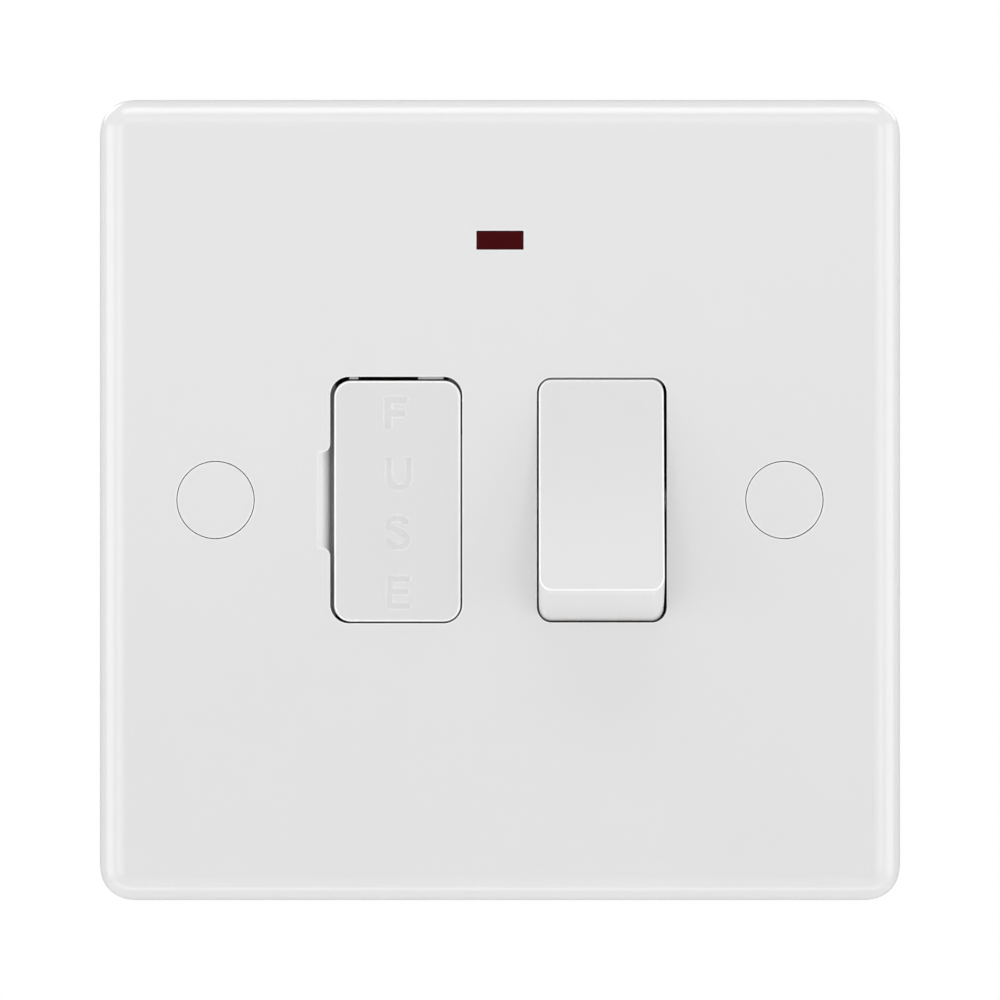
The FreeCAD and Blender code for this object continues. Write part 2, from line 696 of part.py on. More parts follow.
def cut_apertures(body):
    """Openings for the carrier, the rocker and the neon window, and the finger notch."""
    fuse_top = "fuse_aperture_height / 2"
    fuse_right = "fuse_x + fuse_aperture_width / 2"
    fuse_left = "fuse_x - fuse_aperture_width / 2"
    sink(body, "fuse_aperture", "XZ_Plane", "skin_y", "face_y",
         rounded("fuse_x", "0", "fuse_aperture_width", "fuse_aperture_height",
                 "fuse_aperture_corner"))
    relief = "fuse_x + relief_shift"
    grow(body, "guide_ledges", "XZ_Plane", "skin_y", "face_y + ledge_setback",
         rectangle(f"{fuse_left} + fuse_aperture_corner", f"{relief} - relief_width / 2",
                   f"{fuse_top} - ledge_height", f"{fuse_top} + lap"),
         rectangle(f"{relief} + relief_width / 2", f"{fuse_right} - fuse_aperture_corner",
                   f"{fuse_top} - ledge_height", f"{fuse_top} + lap"))
    sink(body, "neon_slot", "XZ_Plane", "skin_y", "face_y",
         centred("0", "lens_z", "lens_width + 2 * lens_play", "lens_height + 2 * lens_play"))
    drum("Groove", body, "switch_swing", "0", "switch_x - switch_aperture_width / 2",
         "switch_x + switch_aperture_width / 2", "pivot_y", "rocker_round + swing_play",
         "switch_aperture_corner")


def finger_notch():
    """Ramp beside the fuse aperture: its section across, within its flared outline from the front."""
    mouth = "fuse_x - fuse_aperture_width / 2"
    outer = f"{mouth} - notch_width"
    half = "notch_height / 2"
    flared = new_body("notch_outline")
    grow(flared, "notch_flared", "XZ_Plane", "skin_y", "face_y - past",
         profile((outer, f"0 - {half}"), (f"{mouth} - notch_round", f"0 - {half}"),
                 (mouth, f"0 - {half} - notch_round", "notch_round", LEFT),
                 (f"{mouth} + past", f"0 - {half} - notch_round"),
                 (f"{mouth} + past", f"{half} + notch_round"), (mouth, f"{half} + notch_round"),
                 (f"{mouth} - notch_round", half, "notch_round", LEFT), (outer, half)))
    ramp = new_body("notch_ramp")
    reach = f"({half} + notch_round + past)"
    grow(ramp, "notch_section", "XY_Plane", f"0 - {reach}", reach,
         profile((outer, "face_y"), (mouth, "face_y + notch_depth", "notch_curve"),
                 (f"{mouth} + past", "face_y + notch_depth"), (f"{mouth} + past", "face_y - past"),
                 (outer, "face_y - past")))
    notch = doc.addObject("Part::Common", "finger_notch")
    notch.Base = flared
    notch.Tool = ramp
    return notch


def cut_screw_holes(body):
    """Recess, countersink and clearance hole on each side, turned about the screw's axis."""
    sink(body, "post_pilots", "XZ_Plane", "post_end + past",
         "self_tapper_seat - self_tapper_length - pilot_play",
         *[circle(x, z, "self_tapper + 2 * self_tapper_play") for x, z in POSTS])
    sink_half = "(seat_diameter - screw_hole) / 2"
    for side, sign in SIDES:
        axis_x = f"{sign} screw_x"
        outline = profile(
            (axis_x, "face_y - past"), (f"{axis_x} + recess_diameter / 2", "face_y - past"),
            (f"{axis_x} + recess_diameter / 2", "seat_y"),
            (f"{axis_x} + seat_diameter / 2", "seat_y"),
            (f"{axis_x} + screw_hole / 2", f"seat_y + {sink_half}"),
            (f"{axis_x} + screw_hole / 2", "past"), (axis_x, "past"))
        turned("Groove", body, "screw_hole_" + side, "0", outline, (axis_x, "0"), (axis_x, "past"))


def screw_cap(side, sign):
    """Round cap, turned from half its section, with slots that part its skirt into four fingers."""
    name = "screw_cap_" + side
    body = new_body(name)
    x = f"{sign} screw_x"
    disc = f"{x} + cap_diameter / 2"
    skirt = f"{x} + recess_diameter / 2 - cap_skirt_play"
    inside = f"{skirt} - cap_skirt_wall"
    disc_y = "face_y + cap_thickness"
    end_y = f"{disc_y} + cap_skirt_length"
    outline = profile(
        (x, "face_y"), (f"{disc} - cap_edge", "face_y"), (disc, "face_y + cap_edge", "cap_edge"),
        (disc, f"{disc_y} - lap"), (skirt, f"{disc_y} - lap"), (skirt, end_y), (inside, end_y),
        (inside, disc_y), (x, disc_y))
    turned("Revolution", body, name + "_turned", "0", outline, (x, "0"), (x, "past"))
    slot_y = f"{disc_y} + cap_slot_start"
    reach = "recess_diameter"
    sink(body, name + "_slot_across", "XZ_Plane", f"{end_y} + past", slot_y,
         centred(x, "0", reach, "cap_slot"))
    sink(body, name + "_slot_upright", "XZ_Plane", f"{end_y} + past", slot_y,
         centred(x, "0", "cap_slot", reach))
    return keep(body)


def fixing_screw(side, sign):
    """Countersunk machine screw with a plain neck where it passes the plate."""
    name = "fixing_screw_" + side
    x = f"{sign} screw_x"
    top = "seat_y - screw_head_rim + screw_seat_play"
    under = f"{top} + screw_head_rim"
    taper = "(screw_head - screw_neck) / 2"
    head = rod(name + "_rim", "Y", (x, top, "0"), "screw_head_rim", "screw_head")
    sink_cone = cone(name + "_cone", "Y", (x, under, "0"), taper, "screw_head", "screw_neck")
    neck = rod(name + "_neck", "Y", (x, under, "0"), f"thread_start - ({under})", "screw_neck")
    thread = rod(name + "_thread", "Y", (x, "thread_start", "0"),
                 f"screw_length + {top} - thread_start", "screw_thread")
    slot = block(name + "_slot", (f"{x} - screw_head", f"{x} + screw_head"),
                 (f"{top} - past", f"{top} + screw_slot"), ("0 - screw_slot / 2", "screw_slot / 2"))
    return keep(carved(name, joined(name + "_blank", head, sink_cone, neck, thread), slot))


def fuse_carrier():
    """Sliding drawer: face, side arm with captive hooks, and two seats open to the right."""
    body = new_body("fuse_carrier")
    left = "carrier_x - carrier_width / 2"
    back = "face_y + carrier_face"
    grow(body, "carrier_front", "XZ_Plane", back, "face_y",
         centred("carrier_x", "carrier_shift_z", "carrier_width", "carrier_height"))
    soften(body, "carrier_corners", "carrier_corner", lambda edge: runs_along(edge, ALONG_Y))
    soften(body, "carrier_edges", "carrier_edge", at_depth("face_y"))
    right = "arm_left + carrier_arm"
    grow(body, "side_arm", "XZ_Plane", "arm_back", back,
         rectangle("arm_left", right, "0 - arm_end_z", "arm_end_z"))
    hook_front = "arm_back - hook_length"
    grow(body, "hooks", "XZ_Plane", "arm_back", hook_front,
         rectangle("arm_left", right, "0 - hook_end_z", "hook_end_z"))
    for side, sign in (("lower", "0 -"), ("upper", "0 +")):
        grow(body, "fuse_seat_" + side, "XY_Plane", f"{sign} seat_z - seat_width / 2",
             f"{sign} seat_z + seat_width / 2",
             rectangle("arm_left + lap", "fuse_x + seat_reach", f"{back} - lap",
                       "fuse_y + fuse_diameter / 2"))
    seat = "barrel_diameter + 2 * seat_play"
    sink(body, "seat_bore", "XY_Plane", "0 - seat_z - seat_width", "seat_z + seat_width",
         circle("fuse_x", "fuse_y", seat))
    sink(body, "seat_mouth", "XY_Plane", "0 - seat_z - seat_width", "seat_z + seat_width",
         rectangle("fuse_x", "fuse_x + fuse_diameter", f"fuse_y - ({seat}) / 2",
                   f"fuse_y + ({seat}) / 2"))
    sink(body, "pry_groove", "XY_Plane", "0 - notch_height / 2", "notch_height / 2",
         rectangle(f"{left} - past", f"{left} + groove_depth", "face_y + groove_setback",
                   "face_y + groove_setback + groove_width"))
    return keep(body)


def cartridge_fuse():
    """Ceramic barrel with a pressed cup on each end."""
    barrel = "fuse_end_z - barrel_inset"
    keep(rod("fuse_barrel", "Z", ("fuse_x", "fuse_y", f"0 - ({barrel})"), f"2 * ({barrel})",
             "barrel_diameter"))
    hollow_length = "fuse_cap_length - fuse_cap_floor + past"
    for side, low, hollow_low in (
        ("upper", "fuse_end_z - fuse_cap_length", "fuse_end_z - fuse_cap_length - past"),
        ("lower", "0 - fuse_end_z", "fuse_cap_floor - fuse_end_z"),
    ):
        name = "fuse_cap_" + side
        cup = rod(name + "_cup", "Z", ("fuse_x", "fuse_y", low), "fuse_cap_length", "fuse_diameter")
        hollow = rod(name + "_hollow", "Z", ("fuse_x", "fuse_y", hollow_low), hollow_length,
                     "fuse_diameter - 2 * fuse_cap_wall")
        keep(carved(name, cup, hollow))


def clip_outline():
    """U section of a fuse clip: base, two leaves and their flared lips."""
    outer = "clip_half + clip_leaf"
    lip = "clip_leaf"
    return profile(
        (f"fuse_x - ({outer})", "floor_y"), (f"fuse_x + {outer}", "floor_y"),
        (f"fuse_x + {outer}", f"clip_front + {lip}"),
        (f"fuse_x + {outer} + {lip} / 2", "clip_front"),
        (f"fuse_x + {outer} - {lip} / 2", "clip_front"),
        ("fuse_x + clip_half", f"clip_front + {lip}"), ("fuse_x + clip_half", "strip_y"),
        ("fuse_x - clip_half", "strip_y"), ("fuse_x - clip_half", f"clip_front + {lip}"),
        (f"fuse_x - ({outer}) + {lip} / 2", "clip_front"),
        (f"fuse_x - ({outer}) - {lip} / 2", "clip_front"),
        (f"fuse_x - ({outer})", f"clip_front + {lip}"),
    )


def fuse_clips():
    """Two sprung clips, each pressed from one strip with its tail."""
    upper = new_body("upper_fuse_clip")
    grow(upper, "upper_clip_leaves", "XY_Plane", "clip_inner_z", "clip_outer_z", clip_outline())
    grow(upper, "upper_clip_base", "XY_Plane", "pad_low", "clip_outer_z",
         rectangle("fuse_x - clip_half", "fuse_x + clip_half", "strip_y", "floor_y"))
    grow(upper, "upper_clip_tail", "XY_Plane", "pad_low", "pad_high",
         rectangle("fuse_x", "live_x + rivet_diameter / 2 + pad_margin", "strip_y", "floor_y"))
    keep(upper)
    lower = new_body("lower_fuse_clip")
    grow(lower, "lower_clip_leaves", "XY_Plane", "0 - clip_outer_z", "0 - clip_inner_z",
         clip_outline())
    grow(lower, "lower_clip_tail", "XY_Plane", "bottom_row_z - block_height / 2", "0 - clip_inner_z",
         rectangle("live_out_x - strip_width / 2", "live_out_x + strip_width / 2", "strip_y",
                   "floor_y"))
    keep(lower)


def rocker():
    """Rocker in its own frame about the pivot: drum ends, flat face, hollow back and towers."""
    body = new_body("rocker")
    half = "rocker_width / 2"
    drum("Revolution", body, "drum", "0", f"0 - {half}", half, "0", "rocker_round",
         "rocker_corner")
    far = "(rocker_round + past)"
    wide = f"{half} + past"
    dish_end = f"dish_y + sqrt(rocker_dish ^ 2 - {far} ^ 2)"
    sink(body, "dished_face", "YZ_Plane", f"0 - ({wide})", wide,
         profile((f"0 - {far}", f"0 - {far}"), (dish_end, f"0 - {far}"),
                 (dish_end, far, "rocker_dish"), (f"0 - {far}", far)))
    sink(body, "open_back", "YZ_Plane", f"0 - ({wide})", wide,
         profile(("0 - rocker_back", far), ("0 - rocker_back", "ear_half"),
                 ("ear_back", "ear_half"), ("ear_back", "0 - ear_half"),
                 ("0 - rocker_back", "0 - ear_half"), ("0 - rocker_back", f"0 - {far}"),
                 (far, f"0 - {far}"), (far, far)))
    soften(body, "rocker_edges", "rocker_edge", on_dish)
    reach = "trunnion_length + rocker_width / 2"
    grow(body, "trunnions", "YZ_Plane", f"0 - ({reach})", reach, circle("0", "0", "trunnion_diameter"))
    inner = f"{half} - rocker_wall"
    inner_front = "rocker_front - rocker_flat"
    inner_end = "rocker_round - rocker_end_wall"
    sink(body, "hollow_back", "YZ_Plane", f"0 - ({inner})", inner,
         profile((inner_front, "rocker_wall - rocker_half"), ("0 - rocker_back", f"0 - ({inner_end})"),
                 ("ear_back + past", f"0 - ({inner_end})"), ("ear_back + past", inner_end),
                 ("0 - rocker_back", inner_end), (inner_front, "rocker_half - rocker_wall")))
    poles = ("0 - rocker_shift - pole_pitch / 2", "0 - rocker_shift + pole_pitch / 2")
    grow(body, "towers", "XZ_Plane", "tower_back", f"{inner_front} - lap",
         circle(poles[0], "0", "tower_diameter"), circle(poles[1], "0", "tower_diameter"))
    sink(body, "tower_bores", "XZ_Plane", "tower_back + past", "0 - bore_front",
         circle(poles[0], "0", "tower_bore"), circle(poles[1], "0", "tower_bore"))
    return tilt(body, "rocker_x", "pivot_y", "0 - rocker_tilt")


def on_dish(edge):
    """True for an edge that lies on the cylinder of the rocker's dished face."""
    centre = value("dish_y")
    radius = value("rocker_dish")
    spots = [middle(edge)] + [corner.Point for corner in edge.Vertexes]
    return all(abs(((spot.y - centre) ** 2 + spot.z ** 2) ** 0.5 - radius) < NEAR for spot in spots)


def tilt(thing, x, y, angle):
    """Sets a piece drawn about its own pivot at its rest tilt about X."""
    thing.Placement = FreeCAD.Placement(point(x, y, "0"), FreeCAD.Rotation(ALONG_X, value(angle)))
    bind(thing, "Placement.Base.x", x)
    bind(thing, "Placement.Base.y", y)
    bind(thing, "Placement.Rotation.Angle", angle)
    return keep(thing)


def plunger(pole, x):
    """Round-nosed plunger, turned from a half section."""
    name = pole + "_plunger"
    body = new_body(name)
    radius = "plunger_diameter / 2"
    front = "0 - plunger_front"
    outline = profile(("0", front), (radius, front), (radius, "plunger_reach - plunger_diameter / 2"),
                      ("0", "plunger_reach", radius))
    turned("Revolution", body, name + "_turned", "0", outline, ("0", "0"), ("0", "1"))
    return tilt(body, x, "pivot_y", "0 - rocker_tilt")


def plunger_spring(pole, x):
    """Coil spring between the bore's bottom and the plunger, wound about the plunger's axis."""
    name = pole + "_plunger_spring"
    low = "0 - bore_front + spring_play + spring_wire / 2"
    high = "0 - plunger_front - plunger_travel - spring_play - spring_wire / 2"
    coil = doc.addObject("Part::Helix", name + "_coil")
    bind(coil, "Height", f"{high} - ({low})")
    bind(coil, "Pitch", f"({high} - ({low})) / spring_turns")
    bind(coil, "Radius", "spring_diameter / 2")
    wire = doc.addObject("Part::Circle", name + "_wire")
    bind(wire, "Radius", "spring_wire / 2")
    wire.Placement = FreeCAD.Placement(point("spring_diameter / 2", "0", "0"),
                                       FreeCAD.Rotation(ALONG_X, 90))
    bind(wire, "Placement.Base.x", "spring_diameter / 2")
    spring = doc.addObject("Part::Sweep", name)
    spring.Sections = [wire]
    spring.Spine = (coil, ["Edge1"])
    spring.Solid = True
    spring.Frenet = True
    turn = FreeCAD.Rotation(ALONG_X, value("0 - rocker_tilt - 90"))
    spring.Placement = FreeCAD.Placement(FreeCAD.Vector(), turn)
    bind(spring, "Placement.Base.x", x)
    bind(spring, "Placement.Base.y", f"pivot_y + ({low}) * cos(rocker_tilt)")
    bind(spring, "Placement.Base.z", f"0 - ({low}) * sin(rocker_tilt)")
    bind(spring, "Placement.Rotation.Angle", "0 - rocker_tilt - 90")
    return keep(spring)


def lever(pole, x):
    """Contact lever and its moving rivet, drawn level about the pivot on the lever's rear face."""
    bar = new_body(pole + "_seesaw")
    grow(bar, pole + "_bar", "XZ_Plane", "0", "0 - lever_thickness",
         rectangle("0 - lever_width / 2", "lever_width / 2", "0 - lever_down", "lever_up"))
    half = value("lever_width / 2")
    soften(bar, pole + "_bar_corners", "lever_width / 4",
           lambda edge: runs_along(edge, ALONG_Y) and abs(abs(middle(edge).x) - half) < NEAR)
    tilt(bar, x, "lever_y", "lever_tilt")
    rivet = new_body(pole + "_moving_rivet")
    grow(rivet, pole + "_moving_head", "XZ_Plane", "moving_rivet", "0",
         circle("0", "contact_z", "rivet_diameter"))
    tilt(rivet, x, "lever_y", "lever_tilt")


def cradle(pole, x):
    """Knife edge and ears that carry a lever, with the strip down to its supply terminal."""
    body = new_body(pole + "_cradle")
    ear_in = "lever_width / 2 + ear_gap"
    ear_out = f"{ear_in} + ear_thickness"
    grow(body, pole + "_foot", "XZ_Plane", "floor_y", "strip_y",
         rectangle(f"{x} - ({ear_out})", f"{x} + {ear_out}", "0 - ear_height", "ear_height"))
    grow(body, pole + "_supply_strip", "XZ_Plane", "floor_y", "strip_y",
         rectangle(f"{x} - strip_width / 2", f"{x} + strip_width / 2",
                   "bottom_row_z - block_height / 2", "0"))
    tip = "lever_y + knife_play"
    grow(body, pole + "_knife", "YZ_Plane", f"{x} - lever_width / 2", f"{x} + lever_width / 2",
         profile((f"{tip} + knife_radius", "0 - knife_radius"), (tip, "0 - knife_radius / 2"),
                 (tip, "knife_radius / 2"), (f"{tip} + knife_radius", "knife_radius"),
                 ("floor_y", "knife_half"), ("floor_y", "0 - knife_half")))
    for side, low, high in (
        ("left", f"{x} - ({ear_out})", f"{x} - ({ear_in})"),
        ("right", f"{x} + {ear_in}", f"{x} + {ear_out}"),
    ):
        grow(body, f"{pole}_ear_{side}", "YZ_Plane", low, high,
             rectangle("ear_front", "floor_y", "0 - ear_height", "ear_height"))
    return keep(body)


def fixed_contacts():
    """Neutral strip up to its load terminal, and the two fixed rivets."""
    strip = new_body("neutral_fixed_contact")
    grow(strip, "neutral_load_strip", "XZ_Plane", "floor_y", "strip_y",
         rectangle("neutral_x - lever_width / 2", "neutral_x + lever_width / 2", "pad_low",
                   "pad_high"))
    grow(strip, "neutral_load_tail", "XZ_Plane", "floor_y", "strip_y",
         rectangle("neutral_x - strip_width / 2", "neutral_x + strip_width / 2", "contact_z",
                   "top_row_z + block_height / 2"))
    keep(strip)
    for pole, x in POLES:
        keep(rod(pole + "_fixed_rivet", "Y", (x, "contact_y", "contact_z"), "strip_y - contact_y",
                 "rivet_diameter"))


def terminal(name, x, z):
    """Brass block with its wire bore across and its screw thread from the back."""
    brass = block(name + "_brass", (f"{x} - block_width / 2", f"{x} + block_width / 2"),
                  ("floor_y", "block_back"),
                  (f"{z} - block_height / 2", f"{z} + block_height / 2"))
    wire = rod(name + "_wire", "Z", (x, "wire_y", f"{z} - block_height / 2 - past"),
               "block_height + 2 * past", "wire_bore")
    thread = rod(name + "_thread", "Y", (x, "wire_y", z), "block_back - wire_y + past",
                 "clamp_thread + 2 * clamp_play")
    keep(carved(name + "_terminal", brass, wire, thread))
    tip = "wire_y + wire_bore / 2 + clamp_lift"
    head_y = "block_back + clamp_lift"
    shank = rod(name + "_shank", "Y", (x, tip, z), f"{head_y} - ({tip}) + lap", "clamp_thread")
    head = rod(name + "_head", "Y", (x, head_y, z), "clamp_head_length", "clamp_head")
    slot = block(name + "_slot", (f"{x} - clamp_head", f"{x} + clamp_head"),
                 (f"{head_y} + clamp_head_length - clamp_slot", f"{head_y} + clamp_head_length + past"),
                 (f"{z} - clamp_slot / 2", f"{z} + clamp_slot / 2"))
    keep(carved(name + "_terminal_screw", joined(name + "_screw_blank", shank, head), slot))


def earth_strap():
    """Strip across the fronts of the two earth blocks."""
    keep(block("earth_strap",
               ("earth_left_x - block_width / 2", "earth_right_x + block_width / 2"),
               ("strip_y", "floor_y"),
               ("top_row_z - strip_width / 2", "top_row_z + strip_width / 2")))


def neon_lens():
    """Window with a flange behind the skin."""
    body = new_body("neon_lens")
    grow(body, "lens_flange_plate", "XZ_Plane", "lens_back", "skin_y",
         centred("0", "lens_z", "lens_width + 2 * lens_margin", "lens_height + 2 * lens_margin"))
    grow(body, "lens_window", "XZ_Plane", "skin_y", "face_y",
         centred("0", "lens_z", "lens_width", "lens_height"))
    soften(body, "lens_rim", "lens_edge", at_depth("face_y"))
    return keep(body)


def neon_lamp():
    """Glass envelope with domed ends and the resistor in line with its long wire."""
    body = new_body("neon_lamp")
    half = "lamp_length / 2"
    drum("Revolution", body, "lamp_glass", "lens_z", f"0 - {half}", half, "lamp_y",
         "lamp_diameter / 2", "lamp_diameter / 4")
    keep(body)
    keep(rod("neon_resistor", "Z", ("0", "lead_y", "resistor_z - resistor_length / 2"),
             "resistor_length", "resistor_diameter"))


def bent_wire(spots):
    """Round wire along straight runs joined by arcs of lead_bend."""
    radius = value("lead_diameter / 2")
    bend = value("lead_bend")
    edges = []
    start = spots[0]
    for corner, following in zip(spots[1:-1], spots[2:]):
        inward = (start - corner).normalize()
        outward = (following - corner).normalize()
        first = corner + inward * bend
        last = corner + outward * bend
        centre = corner + (inward + outward) * bend
        inner = centre + (corner - centre).normalize() * bend
        edges.append(Part.LineSegment(start, first).toShape())
        edges.append(Part.Arc(first, inner, last).toShape())
        start = last
    edges.append(Part.LineSegment(start, spots[-1]).toShape())
    path = Part.Wire(edges)
    ring = Part.Circle(spots[0], (spots[1] - spots[0]).normalize(), radius).toShape()
    return path.makePipeShell([Part.Wire([ring])], True, False)


def neon_leads():
    """Sleeved wires: lamp to the neutral load strip, and lamp by the resistor to the live load."""
    lamp_end = "lamp_length / 2"
    near = "strip_y - lead_end_play"
    right = [
        point(lamp_end, "lamp_y", "lens_z"), point("neutral_x", "lamp_y", "lens_z"),
        point("neutral_x", near, "lens_z"),
    ]
    top = "resistor_z + resistor_length / 2"
    turn_x = f"0 - {lamp_end} - lead_loop"
    left = [
        point(f"0 - {lamp_end}", "lamp_y", "lens_z"), point(turn_x, "lamp_y", "lens_z"),
        point(turn_x, "lead_y", "lens_z"), point("0", "lead_y", "lens_z"), point("0", "lead_y", top),
    ]
    long = [
        point("0", "lead_y", "resistor_z - resistor_length / 2"),
        point("0", "lead_y", "bottom_row_z"), point("live_out_x", "lead_y", "bottom_row_z"),
        point("live_out_x", near, "bottom_row_z"),
    ]
    leads = doc.addObject("Part::Feature", "neon_leads")
    leads.Shape = Part.makeCompound([bent_wire(spots) for spots in (right, left, long)])
    return keep(leads)


def rear_housing():
    """Moulded body: wells, chambers, channels, and passages clear of the bosses and fixing screws."""
    body = new_body("housing_moulding")
    side = "housing_width / 2"
    grow(body, "housing_block", "XZ_Plane", "housing_depth", "skin_y",
         rectangle(f"0 - {side}", side, "0 - housing_bottom", "housing_top"))
    soften(body, "housing_corners", "housing_corner", lambda edge: runs_along(edge, ALONG_Y))
    soften(body, "housing_bevel_edge", "housing_bevel", at_depth("housing_depth"), "Chamfer")
    sink(body, "switch_well", "XZ_Plane", "floor_y", "skin_y",
         rectangle("well_left", "well_right", "0 - switch_well_half", "switch_well_half"))
    notch = "trunnion_length + trunnion_end_play"
    notch_low, notch_high = f"well_left - {notch}", f"well_right + {notch}"
    pivot_width = "trunnion_diameter + 2 * trunnion_play"
    sink(body, "pivot_notches", "XZ_Plane", "pivot_y", "skin_y",
         rectangle(notch_low, notch_high, f"0 - ({pivot_width}) / 2", f"({pivot_width}) / 2"))
    sink(body, "pivot_seats", "YZ_Plane", notch_low, notch_high, circle("pivot_y", "0", pivot_width))
    cut_barrier(body)
    sink(body, "fuse_well", "XZ_Plane", "floor_y", "skin_y",
         rectangle("fuse_well_left", "fuse_well_right", "0 - fuse_well_half", "fuse_well_half"))
    sink(body, "arm_slot", "XZ_Plane", "arm_back + carrier_play", "strip_y",
         rectangle("fuse_well_left", "arm_left + carrier_arm + carrier_play",
                   "0 - fuse_well_half", "fuse_well_half"))
    cut_chambers(body)
    cut_channels(body)
    cut_housing_holes(body)
    passages = []
    for side, sign in SIDES:
        start = (f"{sign} screw_x", "skin_y - past", "0")
        passages.append(rod("boss_passage_" + side, "Y", start,
                            "past - skin_y - boss_short + pass_play", "boss_diameter + 2 * pass_play"))
        passages.append(rod("screw_passage_" + side, "Y", start,
                            "housing_depth - skin_y + 2 * past", "screw_thread + 2 * pass_play"))
    return keep(carved("rear_housing", body, *passages))


def cut_barrier(body):
    """Leaves a wall between the two poles: it is grown back into the switch well."""
    ear_out = "lever_width / 2 + ear_gap + ear_thickness"
    low = f"live_x + {ear_out} + strip_play"
    high = f"neutral_x - ({ear_out}) - strip_play"
    grow(body, "pole_barrier", "XZ_Plane", "floor_y", "0",
         rectangle(low, high, "0 - switch_well_half", "switch_well_half"))


def cut_chambers(body):
    """A chamber, a screw well and a wire entry for each terminal."""
    for name, x, z in TERMINALS:
        sink(body, name + "_chamber", "XZ_Plane", "chamber_back", "skin_y",
             centred(x, z, "block_width + 2 * block_play", "block_height + 2 * block_play"))
        low, high = ("0 - housing_bottom - past", z)
        if z == "top_row_z":
            low, high = (z, "housing_top + past")
        sink(body, name + "_entry", "XY_Plane", low, high, circle(x, "wire_y", "wire_entry"))
    wells = [circle(x, z, "clamp_well") for name, x, z in TERMINALS]
    sink(body, "screw_wells", "XZ_Plane", "housing_depth + past", "chamber_back - past", *wells)


def cut_channels(body):
    """Channels that let the strips and wires pass the inner walls, all open to the front."""
    wide = "strip_width + 2 * strip_play"
    inner_bottom = "bottom_row_z + block_height / 2"
    for name, x, well in (("live_supply", "live_x", "switch_well_half"),
                          ("neutral_supply", "neutral_x", "switch_well_half"),
                          ("live_load", "live_out_x", "fuse_well_half")):
        sink(body, name + "_channel", "XZ_Plane", "floor_y", "skin_y",
             rectangle(f"{x} - ({wide}) / 2", f"{x} + ({wide}) / 2", inner_bottom,
                       f"past - {well}"))
    sink(body, "neutral_load_channel", "XZ_Plane", "floor_y", "skin_y",
         rectangle(f"neutral_x - ({wide}) / 2", f"neutral_x + ({wide}) / 2", "switch_well_half - past",
                   "top_row_z - block_height / 2"))
    sink(body, "link_channel", "XZ_Plane", "floor_y", "skin_y",
         rectangle("fuse_well_right - past", "well_left + past", "pad_low - strip_play",
                   "pad_high + strip_play"))
    sink(body, "earth_channel", "XZ_Plane", "floor_y", "skin_y",
         rectangle("earth_left_x", "earth_right_x", f"top_row_z - ({wide}) / 2",
                   f"top_row_z + ({wide}) / 2"))
    half = "lead_channel / 2"
    sink(body, "long_lead_channel", "XZ_Plane", "lead_y + lead_diameter", "skin_y",
         rectangle(f"0 - {half}", half, f"bottom_row_z - {half}", "lens_z"))
    sink(body, "low_lead_channel", "XZ_Plane", "lead_y + lead_diameter", "skin_y",
         rectangle("live_out_x", half, f"bottom_row_z - {half}", f"bottom_row_z + {half}"))
    sink(body, "lamp_pocket", "XZ_Plane", "lead_y + lead_diameter", "skin_y",
         centred("0", "lens_z", "lamp_length + 2 * (lead_loop + lead_diameter)",
                 "lamp_diameter + 2 * strip_play"))
    sink(body, "high_lead_channel", "XZ_Plane", "lamp_y + lead_diameter", "skin_y",
         rectangle("lamp_length / 2", "neutral_out_x", "lens_z - lead_diameter",
                   "lens_z + lead_diameter"))


def cut_housing_holes(body):
    """Sockets for the plate's posts, and counterbored holes for the four housing screws."""
    socket = "post_diameter + 2 * post_play"
    sink(body, "post_sockets", "XZ_Plane", "post_end + post_end_play", "skin_y",
         *[circle(x, z, socket) for x, z in POSTS])
    sink(body, "tapper_holes", "XZ_Plane", "self_tapper_seat", "post_end",
         *[circle(x, z, "self_tapper + 2 * self_tapper_play") for x, z in POSTS])
    sink(body, "counterbores", "XZ_Plane", "housing_depth + past", "self_tapper_seat",
         *[circle(x, z, "counterbore") for x, z in POSTS])


def housing_screws():
    """Four self-tapping screws from the back into the plate's posts."""
    screws = []
    tip = "self_tapper_seat - self_tapper_length"
    for number, (x, z) in enumerate(POSTS, start=1):
        name = f"housing_screw_{number}"
        shank = rod(name + "_shank", "Y", (x, tip, z), "self_tapper_length + lap", "self_tapper")
        head = rod(name + "_head", "Y", (x, "self_tapper_seat", z), "self_tapper_head_length",
                   "self_tapper_head")
        screws.append(joined(name, shank, head))
    return keep(grouped("housing_screws", *screws))


def save_parts():
    """Checks every object and writes one file per piece."""
    doc.recompute()
    for thing in doc.Objects:
        if "Invalid" in thing.State or "Error" in thing.State:
            raise RuntimeError(f"{thing.Label} failed: {thing.State}")
    for piece in PARTS:
        if piece.Shape.isNull() or not piece.Shape.isValid():
            raise RuntimeError(f"{piece.Label} has no valid shape")
    os.makedirs("parts", exist_ok=True)
    for piece in PARTS:
        piece.Shape.exportStep(f"parts/{piece.Label}.step")


def build():
    front_plate()
    rear_housing()
    housing_screws()
    for side, sign in SIDES:
        screw_cap(side, sign)
        fixing_screw(side, sign)
    fuse_carrier()
    cartridge_fuse()
    fuse_clips()
    rocker()
    for pole, x in POLES:
        plunger(pole, x)
        plunger_spring(pole, x)
        lever(pole, x)
        cradle(pole, x)
    fixed_contacts()
    for name, x, z in TERMINALS:
        terminal(name, x, z)
    earth_strap()
    neon_lens()
    neon_lamp()
    neon_leads()


fill_sheet()
build()
save_parts()
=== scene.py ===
import json
import math

import bpy
import numpy as np
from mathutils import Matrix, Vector
from mathutils.geometry import delaunay_2d_cdt


